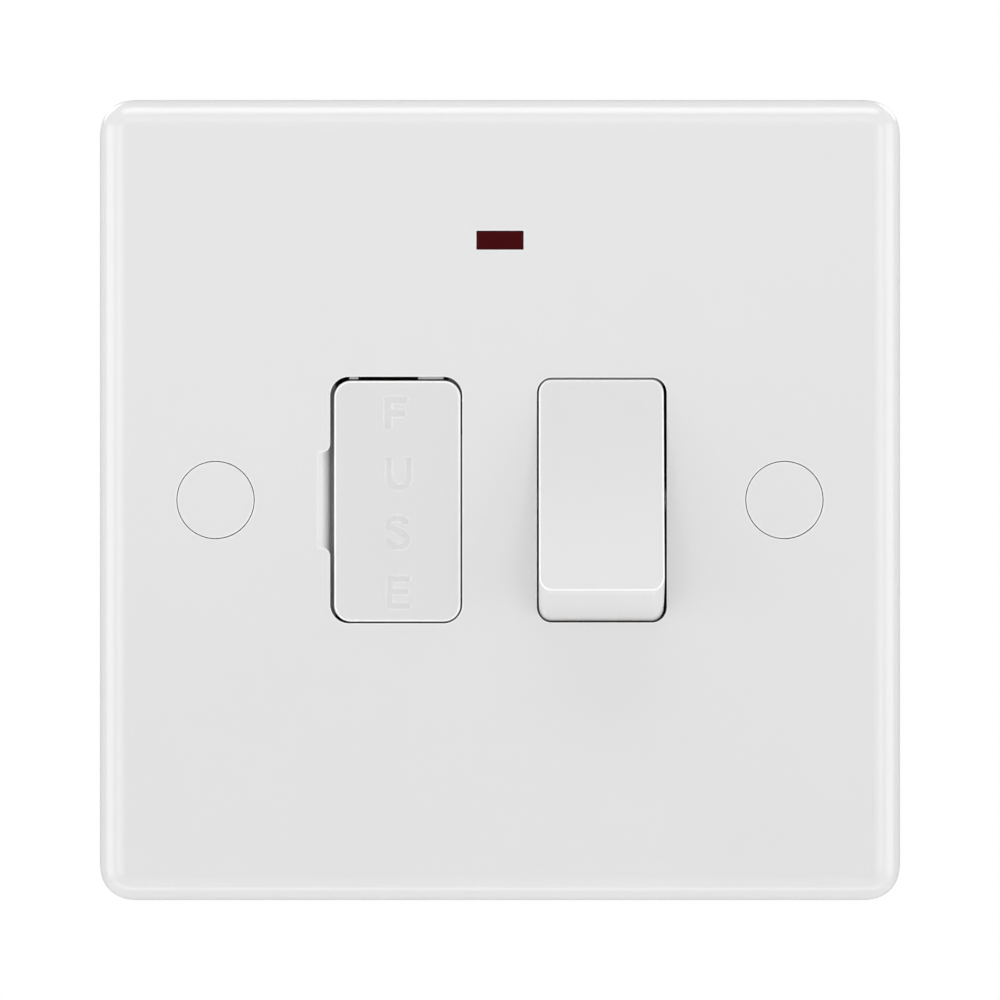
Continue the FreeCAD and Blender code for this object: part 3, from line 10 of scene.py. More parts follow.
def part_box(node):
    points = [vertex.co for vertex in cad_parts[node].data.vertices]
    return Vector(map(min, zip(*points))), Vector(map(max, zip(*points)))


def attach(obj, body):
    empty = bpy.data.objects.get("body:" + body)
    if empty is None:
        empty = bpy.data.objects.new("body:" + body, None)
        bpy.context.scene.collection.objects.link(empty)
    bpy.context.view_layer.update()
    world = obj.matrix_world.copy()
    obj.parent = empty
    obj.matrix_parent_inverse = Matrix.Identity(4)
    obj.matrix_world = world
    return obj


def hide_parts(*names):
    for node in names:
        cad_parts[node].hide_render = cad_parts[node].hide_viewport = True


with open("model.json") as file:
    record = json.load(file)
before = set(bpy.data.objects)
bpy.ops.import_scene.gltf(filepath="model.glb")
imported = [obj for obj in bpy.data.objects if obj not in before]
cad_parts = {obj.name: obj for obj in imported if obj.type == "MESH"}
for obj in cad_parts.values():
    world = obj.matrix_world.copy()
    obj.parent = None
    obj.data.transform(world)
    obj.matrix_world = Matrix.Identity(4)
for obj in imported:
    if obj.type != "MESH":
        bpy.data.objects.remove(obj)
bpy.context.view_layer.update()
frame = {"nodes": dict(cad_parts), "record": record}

MM = 0.001
FACE_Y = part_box("front_plate")[0][1]

# Stage, in metres
VIEW_DISTANCE = 0.666
FLOOR_Z = -0.3
FLOOR_HALF = 1.6

# Strength of the world as light on the object, and of the floor's glow where the camera sees it
WORLD_LIGHT = 0.53
FLOOR_GLOW = 0.7

# Masks of the moulded skin's painted edge highlights: cosines between two normals where a mask is
# none and full
SHARP_EDGE = (0.99, 0.9)
ROUNDING_START = (0.985, 0.95)
ROUNDING_END = (0.5, 0.62)
# Way over which the painted highlight of sharp edges comes in before Edge Back
EDGE_BACK_EASE = 0.2 * MM
# The gloss varies at this many times the scale of the tone
GLOSS_FINENESS = 7.0

# Painted light on the plate: its tone leans by about one over its height, so that it is lighter at
# the top and darker towards the bottom, as if lit from above
PLATE_PAINTED_LIGHT_FADE = (0, 0, -11.6)
# Widths of the painted highlights along the sharp edges of the plate and of the rocker and carrier
PLATE_EDGE_WIDTH = 0.3 * MM
INSERT_EDGE_WIDTH = 0.12 * MM

# Faces of new pieces that meet at more than this angle keep a sharp edge
SHARP_ANGLE = math.radians(32)

# Letters, in millimetres: the grid over them across and up the face, its step, how deep they are
# and half the width of their rounded lip
LETTERS_ACROSS = (-12.45, -9.1)
LETTERS_UP = (-11.95, 11.3)
LETTER_STEP = 0.05
LETTER_DEPTH = 0.15
LETTER_LIP = 0.08


# Camera, lamps, floor

def square_camera():
    """Long lens straight in front of the plate."""
    data = bpy.data.cameras.new("straight_camera")
    data.lens = 226.2
    data.sensor_width = 36.0
    camera = bpy.data.objects.new("straight_camera", data)
    camera.location = (0.0, FACE_Y - VIEW_DISTANCE, 0.0)
    camera.rotation_euler = (math.radians(90), 0, 0)
    bpy.context.collection.objects.link(camera)
    bpy.context.scene.camera = camera


def softbox(name, spot, size, watts):
    """Rectangular lamp that faces the middle of the plate."""
    data = bpy.data.lights.new(name, "AREA")
    data.shape = "RECTANGLE"
    data.size, data.size_y = size
    data.energy = watts
    lamp = bpy.data.objects.new(name, data)
    lamp.location = spot
    lamp.visible_camera = False
    lamp.rotation_euler = (-Vector(spot)).to_track_quat("-Z", "Y").to_euler()
    bpy.context.collection.objects.link(lamp)


def white_surroundings():
    """World: white where the camera sees it, also through glass, and dimmer as light."""
    world = bpy.data.worlds.new("white_tent")
    bpy.context.scene.world = world
    world.use_nodes = True
    nodes, links = world.node_tree.nodes, world.node_tree.links
    nodes.clear()
    path = nodes.new("ShaderNodeLightPath")
    seen = nodes.new("ShaderNodeMath")
    seen.operation = "MAXIMUM"
    links.new(path.outputs["Is Camera Ray"], seen.inputs[0])
    links.new(path.outputs["Is Transmission Ray"], seen.inputs[1])
    light = nodes.new("ShaderNodeBackground")
    light.inputs["Color"].default_value = (1, 1, 1, 1)
    light.inputs["Strength"].default_value = WORLD_LIGHT
    white = nodes.new("ShaderNodeBackground")
    white.inputs["Color"].default_value = (1, 1, 1, 1)
    white.inputs["Strength"].default_value = 1.0
    mix = nodes.new("ShaderNodeMixShader")
    out = nodes.new("ShaderNodeOutputWorld")
    links.new(seen.outputs[0], mix.inputs["Fac"])
    links.new(light.outputs[0], mix.inputs[1])
    links.new(white.outputs[0], mix.inputs[2])
    links.new(mix.outputs[0], out.inputs["Surface"])


def pale_floor():
    """Pale floor under the plate: a flat sheet, lifted to white where the camera sees it."""
    corners = ((-1, -1), (1, -1), (1, 1), (-1, 1))
    spots = [(x * FLOOR_HALF, y * FLOOR_HALF, FLOOR_Z) for x, y in corners]
    mesh = bpy.data.meshes.new("pale_floor")
    mesh.from_pydata(spots, [], [(0, 1, 2, 3)])
    floor = bpy.data.objects.new("pale_floor", mesh)
    bpy.context.collection.objects.link(floor)
    material = bpy.data.materials.new("floor_paint")
    material.use_nodes = True
    nodes, links = material.node_tree.nodes, material.node_tree.links
    surface = nodes["Principled BSDF"]
    surface.inputs["Base Color"].default_value = (0.8, 0.8, 0.8, 1)
    surface.inputs["Roughness"].default_value = 0.85
    path = nodes.new("ShaderNodeLightPath")
    lift = nodes.new("ShaderNodeEmission")
    lift.inputs["Color"].default_value = (1, 1, 1, 1)
    strength = nodes.new("ShaderNodeMath")
    strength.operation = "MULTIPLY"
    strength.inputs[1].default_value = FLOOR_GLOW
    links.new(path.outputs["Is Camera Ray"], strength.inputs[0])
    links.new(strength.outputs[0], lift.inputs["Strength"])
    both = nodes.new("ShaderNodeAddShader")
    links.new(surface.outputs[0], both.inputs[0])
    links.new(lift.outputs[0], both.inputs[1])
    links.new(both.outputs[0], nodes["Material Output"].inputs["Surface"])
    mesh.materials.append(material)


# Shared effects

def effect(name, inputs, outputs):
    """Empty node group with named sockets, and its in and out nodes."""
    group = bpy.data.node_groups.new(name, "ShaderNodeTree")
    for label, kind, value in inputs:
        socket = group.interface.new_socket(label, in_out="INPUT", socket_type=kind)
        socket.default_value = value
    for label, kind in outputs:
        group.interface.new_socket(label, in_out="OUTPUT", socket_type=kind)
    return group, group.nodes.new("NodeGroupInput"), group.nodes.new("NodeGroupOutput")


def math_node(tree, operation, first, second):
    """Result of an operation on two sockets, or on a socket and a number."""
    node = tree.nodes.new("ShaderNodeMath")
    node.operation = operation
    for number, given in enumerate((first, second)):
        if isinstance(given, (int, float)):
            node.inputs[number].default_value = given
        else:
            tree.links.new(given, node.inputs[number])
    return node.outputs[0]


def noise_node(tree, place, scale, detail=3.0):
    """Noise over the place, at a scale that is a number or a socket."""
    node = tree.nodes.new("ShaderNodeTexNoise")
    node.inputs["Detail"].default_value = detail
    tree.links.new(place, node.inputs["Vector"])
    if isinstance(scale, (int, float)):
        node.inputs["Scale"].default_value = scale
    else:
        tree.links.new(scale, node.inputs["Scale"])
    return node.outputs["Fac"]


def dot_node(tree, first, second):
    """Dot product of two vectors."""
    node = tree.nodes.new("ShaderNodeVectorMath")
    node.operation = "DOT_PRODUCT"
    tree.links.new(first, node.inputs[0])
    tree.links.new(second, node.inputs[1])
    return node.outputs["Value"]


def range_node(tree, given, none, full):
    """0 where the given value is none, 1 where it is full, clamped beyond."""
    node = tree.nodes.new("ShaderNodeMapRange")
    node.inputs["From Min"].default_value = none
    node.inputs["From Max"].default_value = full
    tree.links.new(given, node.inputs["Value"])
    return node.outputs["Result"]


def blend_node(tree, amount, first, second):
    """Colour between first and second by amount."""
    node = tree.nodes.new("ShaderNodeMix")
    node.data_type = "RGBA"
    tree.links.new(amount, node.inputs["Factor"])
    for label, given in (("A", first), ("B", second)):
        tree.links.new(given, [s for s in node.inputs if s.name == label and s.type == "RGBA"][0])
    return [s for s in node.outputs if s.type == "RGBA"][0]


def moulded_skin_effect():
    """Moulded plastic: slow drift of its tone and gloss, painted edge highlights, a fine waviness.

    The drift can also lean along Fade: painted light, lighter to one side. Painted highlights lie
    on sharp edges before Edge Back, within Edge Width, found with the Bevel node, whose normal
    turns away from the true one there, and on the roundings of a face, found where the object's
    normal turns away from Front, except where the mesh is marked as grooved."""
    group, given, result = effect(
        "moulded_skin",
        [("Place", "NodeSocketVector", (0, 0, 0)), ("Tone", "NodeSocketColor", (1, 1, 1, 1)),
         ("Drift Tone", "NodeSocketColor", (1, 1, 1, 1)), ("Drift Scale", "NodeSocketFloat", 30.0),
         ("Gloss Low", "NodeSocketFloat", 0.1), ("Gloss High", "NodeSocketFloat", 0.2),
         ("Skin Scale", "NodeSocketFloat", 900.0), ("Painted Highlight Tone", "NodeSocketColor", (1, 1, 1, 1)),
         ("Edge Width", "NodeSocketFloat", 0.0), ("Edge Back", "NodeSocketFloat", 0.0),
         ("Front", "NodeSocketVector", (0, 0, 0)), ("Fade", "NodeSocketVector", (0, 0, 0))],
        [("Colour", "NodeSocketColor"), ("Roughness", "NodeSocketFloat"),
         ("Height", "NodeSocketFloat")])
    clouds = noise_node(group, given.outputs["Place"], given.outputs["Drift Scale"])
    # Painted light: the drift leans along Fade, lighter to one side and darker to the other
    lean = dot_node(group, given.outputs["Place"], given.outputs["Fade"])
    drift = math_node(group, "ADD", clouds, lean)
    plain = blend_node(group, drift, given.outputs["Tone"], given.outputs["Drift Tone"])
    eased = group.nodes.new("ShaderNodeBevel")
    eased.samples = 4
    group.links.new(given.outputs["Edge Width"], eased.inputs["Radius"])
    true_normal = group.nodes.new("ShaderNodeNewGeometry").outputs["Normal"]
    turned = range_node(group, dot_node(group, eased.outputs["Normal"], true_normal), *SHARP_EDGE)
    apart = group.nodes.new("ShaderNodeSeparateXYZ")
    group.links.new(given.outputs["Place"], apart.inputs[0])
    before = math_node(group, "SUBTRACT", given.outputs["Edge Back"], apart.outputs["Y"])
    sharp = math_node(group, "MULTIPLY", turned, range_node(group, before, 0.0, EDGE_BACK_EASE))
    own_normal = group.nodes.new("ShaderNodeTexCoord").outputs["Normal"]
    facing = dot_node(group, own_normal, given.outputs["Front"])
    rounding = math_node(group, "MULTIPLY", range_node(group, facing, *ROUNDING_START),
                         range_node(group, facing, *ROUNDING_END))
    grooved = group.nodes.new("ShaderNodeAttribute")
    grooved.attribute_name = "grooved"
    smooth = math_node(group, "SUBTRACT", 1.0, grooved.outputs["Fac"])
    # Painted highlight: sharp edges and roundings are lightened towards a near-white tone
    edge = math_node(group, "MAXIMUM", sharp, math_node(group, "MULTIPLY", rounding, smooth))
    colour = blend_node(group, edge, plain, given.outputs["Painted Highlight Tone"])
    group.links.new(colour, result.inputs["Colour"])
    finer = math_node(group, "MULTIPLY", given.outputs["Drift Scale"], GLOSS_FINENESS)
    sheen = noise_node(group, given.outputs["Place"], finer)
    span = math_node(group, "SUBTRACT", given.outputs["Gloss High"], given.outputs["Gloss Low"])
    scaled = math_node(group, "MULTIPLY", sheen, span)
    rough = math_node(group, "ADD", scaled, given.outputs["Gloss Low"])
    group.links.new(rough, result.inputs["Roughness"])
    skin = noise_node(group, given.outputs["Place"], given.outputs["Skin Scale"], detail=2.0)
    group.links.new(skin, result.inputs["Height"])
    return group


def tooled_metal_effect():
    """Metal as it leaves the tool: fine lines along one axis, with duller blotches between them."""
    group, given, result = effect(
        "tooled_metal",
        [("Place", "NodeSocketVector", (0, 0, 0)), ("Tone", "NodeSocketColor", (1, 1, 1, 1)),
         ("Dull Tone", "NodeSocketColor", (1, 1, 1, 1)), ("Stretch", "NodeSocketVector", (1, 1, 1)),
         ("Line Scale", "NodeSocketFloat", 900.0), ("Gloss Low", "NodeSocketFloat", 0.2),
         ("Gloss High", "NodeSocketFloat", 0.4)],
        [("Colour", "NodeSocketColor"), ("Roughness", "NodeSocketFloat"),
         ("Height", "NodeSocketFloat")])
    drawn = group.nodes.new("ShaderNodeVectorMath")
    drawn.operation = "MULTIPLY"
    group.links.new(given.outputs["Place"], drawn.inputs[0])
    group.links.new(given.outputs["Stretch"], drawn.inputs[1])
    lines = noise_node(group, drawn.outputs[0], given.outputs["Line Scale"], detail=4.0)
    blotches = noise_node(group, given.outputs["Place"], scale=400.0)
    colour = blend_node(group, blotches, given.outputs["Tone"], given.outputs["Dull Tone"])
    group.links.new(colour, result.inputs["Colour"])
    both = math_node(group, "MULTIPLY", lines, blotches)
    span = math_node(group, "SUBTRACT", given.outputs["Gloss High"], given.outputs["Gloss Low"])
    scaled = math_node(group, "MULTIPLY", both, span)
    rough = math_node(group, "ADD", scaled, given.outputs["Gloss Low"])
    group.links.new(rough, result.inputs["Roughness"])
    group.links.new(lines, result.inputs["Height"])
    return group


# Finishes of the object's own pieces

SKIN = moulded_skin_effect()
TOOLED = tooled_metal_effect()


def finish_with(name, group, settings, sockets, relief, relief_depth):
    """Material whose colour, roughness and relief come from a shared effect."""
    material = bpy.data.materials.new(name)
    material.use_nodes = True
    tree = material.node_tree
    surface = tree.nodes["Principled BSDF"]
    for label, value in sockets.items():
        surface.inputs[label].default_value = value
    place = tree.nodes.new("ShaderNodeTexCoord").outputs["Object"]
    look = tree.nodes.new("ShaderNodeGroup")
    look.node_tree = group
    tree.links.new(place, look.inputs["Place"])
    for label, value in settings.items():
        look.inputs[label].default_value = value
    tree.links.new(look.outputs["Colour"], surface.inputs["Base Color"])
    tree.links.new(look.outputs["Roughness"], surface.inputs["Roughness"])
    bump = tree.nodes.new("ShaderNodeBump")
    bump.inputs["Strength"].default_value = relief
    bump.inputs["Distance"].default_value = relief_depth
    tree.links.new(look.outputs["Height"], bump.inputs["Height"])
    tree.links.new(bump.outputs["Normal"], surface.inputs["Normal"])
    return material


def grey(level):
    """Neutral colour."""
    return (level, level, level, 1)


def glossy_white(name, level, drift_level, extra):
    """White of the pieces in front, in a tone given for each, with painted highlights on its edges.
    """
    return finish_with(
        name, SKIN,
        # The near-white tone is the painted highlight on edges and roundings
        {"Tone": grey(level), "Drift Tone": grey(drift_level), "Painted Highlight Tone": grey(0.98),
         "Edge Width": PLATE_EDGE_WIDTH, "Edge Back": FACE_Y + 0.5 * MM, "Drift Scale": 24.0,
         "Gloss Low": 0.16, "Gloss High": 0.24, "Skin Scale": 1500.0, **extra},
        {"IOR": 1.55, "Coat Weight": 0.4, "Coat Roughness": 0.15},
        relief=0.05, relief_depth=0.02 * MM)


def plastics():
    """Glossy white of the front, satin white of the back, nylon, sleeve, paint and ceramic."""
    gloss = glossy_white("glossy_white", 0.794, 0.75, {"Fade": PLATE_PAINTED_LIGHT_FADE})
    satin = finish_with(
        "satin_white", SKIN,
        {"Tone": (0.72, 0.72, 0.71, 1), "Drift Tone": (0.66, 0.66, 0.655, 1),
         "Drift Scale": 60.0, "Gloss Low": 0.38, "Gloss High": 0.52, "Skin Scale": 3200.0},
        {"IOR": 1.5}, relief=0.35, relief_depth=0.04 * MM)
    nylon = finish_with(
        "grey_nylon", SKIN,
        {"Tone": grey(0.2), "Drift Tone": grey(0.15), "Drift Scale": 300.0,
         "Gloss Low": 0.35, "Gloss High": 0.5, "Skin Scale": 4000.0},
        {"IOR": 1.53}, relief=0.3, relief_depth=0.03 * MM)
    sleeve = finish_with(
        "wire_sleeve", SKIN,
        {"Tone": (0.6, 0.6, 0.57, 1), "Drift Tone": (0.5, 0.5, 0.47, 1), "Drift Scale": 250.0,
         "Gloss Low": 0.4, "Gloss High": 0.6, "Skin Scale": 2500.0},
        {"IOR": 1.5}, relief=0.3, relief_depth=0.04 * MM)
    paint = finish_with(
        "resistor_paint", SKIN,
        {"Tone": (0.42, 0.29, 0.16, 1), "Drift Tone": (0.34, 0.22, 0.12, 1), "Drift Scale": 500.0,
         "Gloss Low": 0.3, "Gloss High": 0.45, "Skin Scale": 3000.0},
        {"IOR": 1.5}, relief=0.3, relief_depth=0.03 * MM)
    ceramic = finish_with(
        "fuse_ceramic", SKIN,
        {"Tone": (0.75, 0.73, 0.68, 1), "Drift Tone": (0.68, 0.65, 0.59, 1), "Drift Scale": 350.0,
         "Gloss Low": 0.3, "Gloss High": 0.5, "Skin Scale": 5000.0},
        {"IOR": 1.55}, relief=0.4, relief_depth=0.03 * MM)
    return {"white_moulding": gloss, "housing_moulding": satin, "grey_moulding": nylon,
            "wire_sleeve": sleeve, "resistor_body": paint, "fuse_ceramic": ceramic}


def metals():
    """Zinc plate, brass, drawn strip, silver contacts and nickel caps.

    Each has its name, tone, dull tone, the stretch of its lines, and its least and most gloss."""
    finishes = {
        "plated_steel": ("zinc_plate", (0.55, 0.56, 0.56, 1), (0.42, 0.42, 0.41, 1),
                         (1, 0.1, 1), 0.25, 0.5),
        "terminal_brass": ("milled_brass", (0.72, 0.52, 0.22, 1), (0.6, 0.41, 0.16, 1),
                           (0.1, 1, 1), 0.2, 0.45),
        "contact_strip": ("drawn_bronze", (0.68, 0.4, 0.2, 1), (0.52, 0.28, 0.14, 1),
                          (1, 1, 0.08), 0.25, 0.5),
        "silver": ("contact_silver", (0.82, 0.81, 0.78, 1), (0.66, 0.64, 0.6, 1),
                   (1, 1, 1), 0.2, 0.4),
        "nickel": ("cap_nickel", (0.62, 0.59, 0.54, 1), (0.5, 0.47, 0.43, 1),
                   (1, 1, 0.1), 0.15, 0.35),
    }
    made = {}
    for slot, (name, tone, dull, stretch, low, high) in finishes.items():
        made[slot] = finish_with(
            name, TOOLED,
            {"Tone": tone, "Dull Tone": dull, "Stretch": stretch, "Line Scale": 3500.0,
             "Gloss Low": low, "Gloss High": high},
            {"Metallic": 1.0}, relief=0.25, relief_depth=0.02 * MM)
    return made


def clear_finishes():
    """Dark red window and the lamp's glass."""
    red = finish_with(
        "dark_red_window", SKIN,
        {"Tone": (0.062, 0.003, 0.0045, 1), "Drift Tone": (0.05, 0.0025, 0.004, 1),
         "Drift Scale": 900.0, "Gloss Low": 0.06, "Gloss High": 0.12, "Skin Scale": 2500.0},
        {"IOR": 1.5, "Specular IOR Level": 0.05}, relief=0.08, relief_depth=0.03 * MM)
    glass = finish_with(
        "lamp_glass", SKIN,
        {"Tone": (0.95, 0.93, 0.9, 1), "Drift Tone": (0.9, 0.87, 0.83, 1), "Drift Scale": 200.0,
         "Gloss Low": 0.02, "Gloss High": 0.06, "Skin Scale": 1200.0},
        {"IOR": 1.5, "Transmission Weight": 0.9}, relief=0.05, relief_depth=0.03 * MM)
    return {"red_lens": red, "lamp_glass": glass}


FINISHES = {**plastics(), **metals(), **clear_finishes()}
SLOT_OF = {entry["node"]: entry["material_slot"] for entry in frame["record"]["subparts"]}
# The rocker and the carrier are given a darker white than the plate and the caps. Front is the way
# that their faces look: the rocker's leans by 12 degrees at rest.
INSERTS = {
    "rocker": glossy_white(
        "white_rocker", 0.75, 0.74, {"Front": (0, -0.978, 0.21), "Edge Width": INSERT_EDGE_WIDTH}),
    "fuse_carrier": glossy_white(
        "white_carrier", 0.75, 0.74, {"Front": (0, -1, 0), "Edge Width": INSERT_EDGE_WIDTH}),
}


def finish_of(node):
    """Material of a node: its own, or the one of its material slot."""
    return INSERTS.get(node) or FINISHES[SLOT_OF[node]]


def dress_nodes():
    """Give every CAD node its material."""
    for name, node in frame["nodes"].items():
        node.data.materials.clear()
        node.data.materials.append(finish_of(name))


# Pieces

def new_piece(name, spots, faces, node, body, grooved=None):
    """Mesh object at the origin, in the finish of the node it stands for.

    Grooved is 1 at the vertices where the moulded skin paints no highlight on roundings, and 0
    elsewhere."""
    mesh = bpy.data.meshes.new(name)
    mesh.from_pydata(spots, [], faces)
    if grooved is not None:
        mesh.attributes.new("grooved", "FLOAT", "POINT").data.foreach_set("value", grooved)
    mesh.validate()
    mesh.materials.append(finish_of(node))
    mesh.shade_smooth()
    mesh.set_sharp_from_angle(angle=SHARP_ANGLE)
    piece = bpy.data.objects.new(name, mesh)
    bpy.context.collection.objects.link(piece)
    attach(piece, body)
    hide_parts(node)
    return piece


def node_shell(name):
    """Vertices and triangles of a node's mesh, with vertices at one spot merged."""
    mesh = frame["nodes"][name].data
    mesh.calc_loop_triangles()
    spots = np.empty(len(mesh.vertices) * 3)
    mesh.vertices.foreach_get("co", spots)
    corners = np.empty(len(mesh.loop_triangles) * 3, dtype=np.int64)
    mesh.loop_triangles.foreach_get("vertices", corners)
    same_spot = 0.0005 * MM
    keys = np.round(spots.reshape(-1, 3) / same_spot).astype(np.int64)
    _, first, place = np.unique(keys, axis=0, return_index=True, return_inverse=True)
    merged = spots.reshape(-1, 3)[first]
    triangles = place.reshape(-1)[corners].reshape(-1, 3)
    a, b, c = triangles.T
    return merged, triangles[(a != b) & (b != c) & (c != a)]


def eased_line(spots, steps=5):
    """Smooth line through the spots: each run is a cubic whose end slopes are half the step
    between the neighbours on both sides."""
    padded = np.vstack([2 * spots[0] - spots[1], spots, 2 * spots[-1] - spots[-2]])
    before, start, end, after = padded[:-3], padded[1:-2], padded[2:-1], padded[3:]
    share = (np.arange(steps) / steps)[None, :, None]
    first, last = (end - before)[:, None] / 2, (after - start)[:, None] / 2
    start, end = start[:, None], end[:, None]
    line = (start * (1 - share) ** 2 * (1 + 2 * share) + first * share * (1 - share) ** 2
            + end * share ** 2 * (3 - 2 * share) - last * share ** 2 * (1 - share))
    return np.vstack([line.reshape(-1, 2), spots[-1]])


def letter_strokes():
    """The four letters, one below the other, as centre lines of their grooves and half their
    widths, in millimetres across and up the face."""
    bold, normal = 0.41, 0.35
    turn = np.radians(np.linspace(180, 360, 13))
    radius = 1.055
    bowl = np.stack([-10.715 + radius * np.cos(turn), 2.37 + radius * np.sin(turn)], axis=1)
    snake = np.array([
        (-10.01, -2.28), (-10.22, -2.05), (-10.56, -1.94), (-10.98, -1.93), (-11.4, -2.0),
        (-11.71, -2.22), (-11.79, -2.53), (-11.66, -2.85), (-11.28, -3.1), (-10.85, -3.25),
        (-10.39, -3.44), (-10.01, -3.72), (-9.81, -4.14), (-9.91, -4.56), (-10.22, -4.86),
        (-10.68, -4.97), (-11.15, -4.9), (-11.53, -4.67), (-11.78, -4.39)])
    return [
        (np.array([(-10.2, 10.61), (-11.89, 10.61), (-11.89, 7.82)]), bold),
        (np.array([(-11.89, 9.19), (-10.39, 9.19)]), bold),
        (np.vstack([[(-11.77, 4.19)], bowl, [(-9.66, 4.19)]]), normal),
        (eased_line(snake), normal),
        (np.array([(-9.82, -8.35), (-11.66, -8.35), (-11.66, -11.19), (-9.81, -11.19)]), normal),
        (np.array([(-11.66, -9.69), (-9.98, -9.69)]), normal),
    ]


def groove_depth(across, up):
    """Depth of the letters: full within a stroke, easing to nothing over a rounded lip.

    Inward of a stroke's edge is half its width less the distance to the nearest of its straight
    runs, and the greatest over all the strokes counts. The depth has its full value a lip's half
    width inward of the edge, none as far outward, and follows the smooth cubic step between."""
    inward = np.full(across.shape, -np.inf)
    for line, half in letter_strokes():
        for start, end in zip(line[:-1], line[1:]):
            run = end - start
            along = ((across - start[0]) * run[0] + (up - start[1]) * run[1]) / (run @ run)
            along = np.clip(along, 0, 1)
            away = np.hypot(across - start[0] - along * run[0], up - start[1] - along * run[1])
            inward = np.maximum(inward, half - away)
    step = np.clip((inward + LETTER_LIP) / (2 * LETTER_LIP), 0, 1)
    return LETTER_DEPTH * step * step * (3 - 2 * step)


def lettered_carrier():
    """Fuse carrier with the four sunken letters in its face.

    The node's shell is kept, except for its flat face. That is laid anew: a fine grid over the
    letters, pushed in by the groove depth, and plain triangles from the grid's border to the
    face's edge."""
    spots, triangles = node_shell("fuse_carrier")
    at_face = FACE_Y + 0.001 * MM
    flat = (spots[triangles][:, :, 1] < at_face).all(axis=1)
    edges = {}
    for a, b, c in triangles[flat]:
        for pair in ((a, b), (b, c), (c, a)):
            key = (min(pair), max(pair))
            edges[key] = edges.get(key, 0) + 1
    rim = [pair for pair, uses in edges.items() if uses == 1]
    rim_spots = sorted({number for pair in rim for number in pair})
    columns = np.arange(*LETTERS_ACROSS, LETTER_STEP)
    rows = np.arange(*LETTERS_UP, LETTER_STEP)
    across, up = np.meshgrid(columns, rows)
    depth = groove_depth(across, up)
    grid = np.stack([across * MM, FACE_Y + depth * MM, up * MM], axis=2).reshape(-1, 3)
    wide, tall = len(columns), len(rows)
    number = np.arange(wide * tall).reshape(tall, wide)
    quads = np.stack([number[:-1, :-1], number[:-1, 1:], number[1:, 1:], number[1:, :-1]], axis=2)
    border = np.concatenate([number[0, :-1], number[:-1, -1], number[-1, :0:-1], number[:0:-1, 0]])
    flat_spots = [Vector((spots[n][0] / MM, spots[n][2] / MM)) for n in rim_spots]
    flat_spots += [Vector((grid[n][0] / MM, grid[n][2] / MM)) for n in border]
    order = {n: place for place, n in enumerate(rim_spots)}
    ties = [(order[a], order[b]) for a, b in rim]
    first = len(rim_spots)
    count = len(border)
    ties += [(first + place, first + (place + 1) % count) for place in range(count)]
    inside_only, tolerance = 1, 1e-6
    laid = delaunay_2d_cdt(flat_spots, ties, [], inside_only, tolerance)
    laid_spots, laid_faces, laid_sources = laid[0], laid[2], laid[3]
    slack = 0.01
    low, high = columns[0] + slack, columns[-1] - slack
    bottom, top = rows[0] + slack, rows[-1] - slack
    base = len(spots)
    home = rim_spots + [base + n for n in border]
    sheet = []
    for face in laid_faces:
        middle = sum((laid_spots[n] for n in face), Vector((0, 0))) / len(face)
        under_grid = low < middle.x < high and bottom < middle.y < top
        if not under_grid:
            sheet.append([home[laid_sources[n][0]] for n in face])
    faces = triangles[~flat].tolist() + (quads.reshape(-1, 4) + base).tolist() + sheet
    grooved = np.repeat([0.0, 1.0], [len(spots), len(grid)])
    return new_piece("lettered_carrier", np.vstack([spots, grid]).tolist(), faces,
                     "fuse_carrier", "fuse_drawer", grooved)


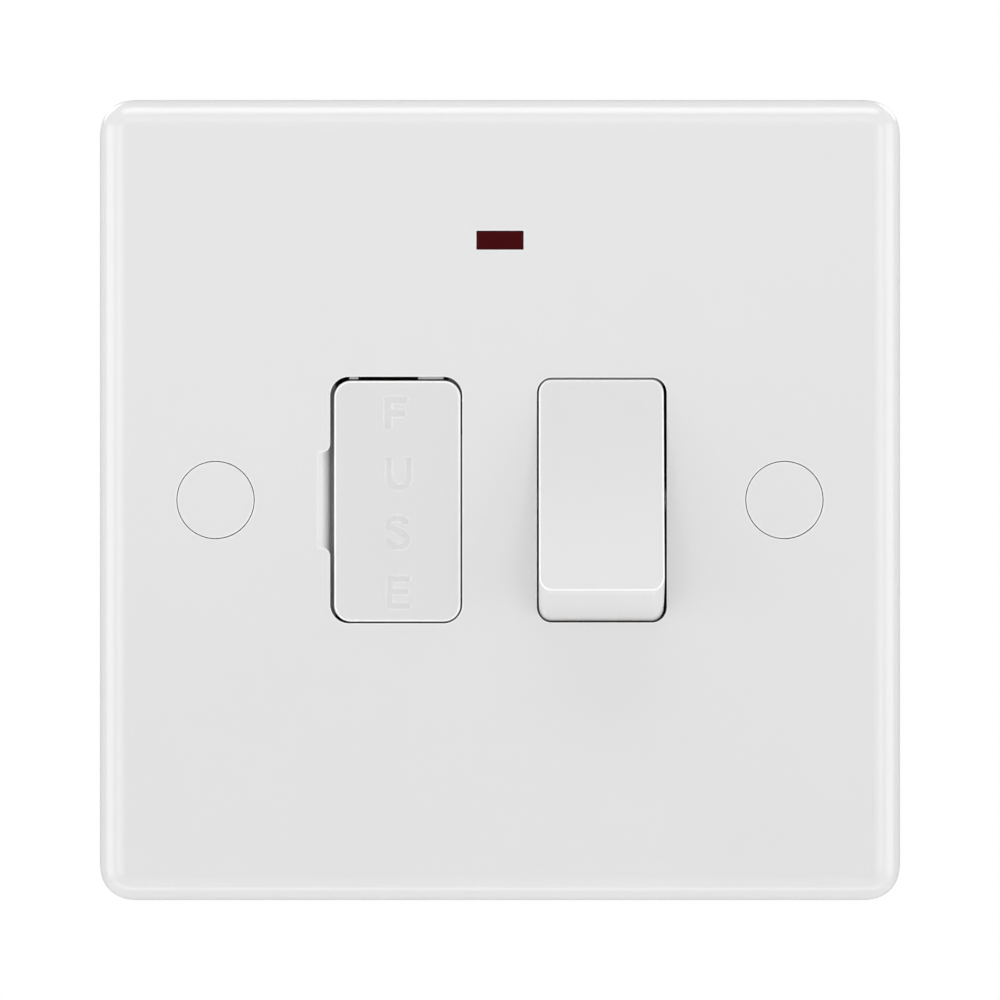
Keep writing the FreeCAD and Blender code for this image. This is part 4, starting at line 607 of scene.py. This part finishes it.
def threaded_screw(side):
    """Fixing screw with a cut thread.

    The node's head and neck are kept. Behind them a helical surface is laid: its radius at an
    angle and a place along the axis falls from the crest by the thread's depth times a triangle
    wave of the place in pitches less the angle in turns, and fades out at both ends."""
    node = "fixing_screw_" + side
    spots, triangles = node_shell(node)
    low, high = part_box(node)
    axis_x, axis_z = (low[0] + high[0]) / 2, (low[2] + high[2]) / 2
    start, slack = -0.2 * MM, 0.01 * MM
    shank = (spots[triangles][:, :, 1] > start - slack).all(axis=1)
    crest, pitch, depth = 1.75 * MM, 0.6 * MM, 0.33 * MM
    fade_in, fade_out = 1.2 * pitch, 0.6 * pitch
    around, rings_per_pitch = 32, 8
    turns = np.linspace(0, 2 * math.pi, around + 1)[:-1]
    places = np.arange(start, high[1] - slack, pitch / rings_per_pitch)
    angle, along = np.meshgrid(turns, places)
    phase = (along / pitch - angle / (2 * math.pi)) % 1.0
    wave = 1 - np.abs(2 * phase - 1)
    ease = np.clip((along - start) / fade_in, 0, 1) * np.clip((high[1] - along) / fade_out, 0, 1)
    # Cut off at both ends, so that crest and root are each a tenth of the pitch wide
    flanks = np.clip(wave * 1.25 - 0.125, 0, 1)
    radius = crest - depth * (1 - ease * (1 - flanks))
    across, up = axis_x + radius * np.cos(angle), axis_z + radius * np.sin(angle)
    coil = np.stack([across, along, up], axis=2).reshape(-1, 3)
    tip = np.array([[axis_x, high[1], axis_z], [axis_x, start, axis_z]])
    base = len(spots)
    count = len(turns)
    number = base + np.arange(len(coil)).reshape(-1, count)
    following = np.roll(number, -1, axis=1)
    quads = np.stack([number[:-1], number[1:], following[1:], following[:-1]], axis=2)
    far, near = base + len(coil), base + len(coil) + 1
    ends = [(far, b, a) for a, b in zip(number[-1], following[-1])]
    ends += [(near, a, b) for a, b in zip(number[0], following[0])]
    faces = triangles[~shank].tolist() + quads.reshape(-1, 4).tolist() + ends
    return new_piece("threaded_screw_" + side, np.vstack([spots, coil, tip]).tolist(), faces,
                     node, "fixed_unit")


bpy.context.scene.view_settings.view_transform = "Standard"
square_camera()
white_surroundings()
pale_floor()
# Lamps beside, at the edges, in front and behind, then above and below: spot, size, watts
for name, side in (("left", -1), ("right", 1)):
    softbox(name + "_softbox", (0.62 * side, -0.52, 0.0), (0.55, 0.55), 0.62)
    softbox(name + "_edge_softbox", (0.7 * side, -0.12, 0.0), (0.4, 0.6), 1.11)
    softbox(name + "_front_softbox", (0.38 * side, -0.6, 0.0), (0.3, 0.5), 0.4)
    softbox(name + "_back_softbox", (0.4 * side, 0.55, 0.42), (0.35, 0.35), 0.7)
softbox("top_softbox", (0.0, -0.13, 0.65), (0.7, 0.3), 1.42)
softbox("upper_front_softbox", (0.0, -0.55, 0.4), (0.6, 0.25), 0.3)
softbox("low_strip", (0.0, -0.07, -0.24), (0.6, 0.03), 0.11)
dress_nodes()
lettered_carrier()
threaded_screw("left")
threaded_screw("right")
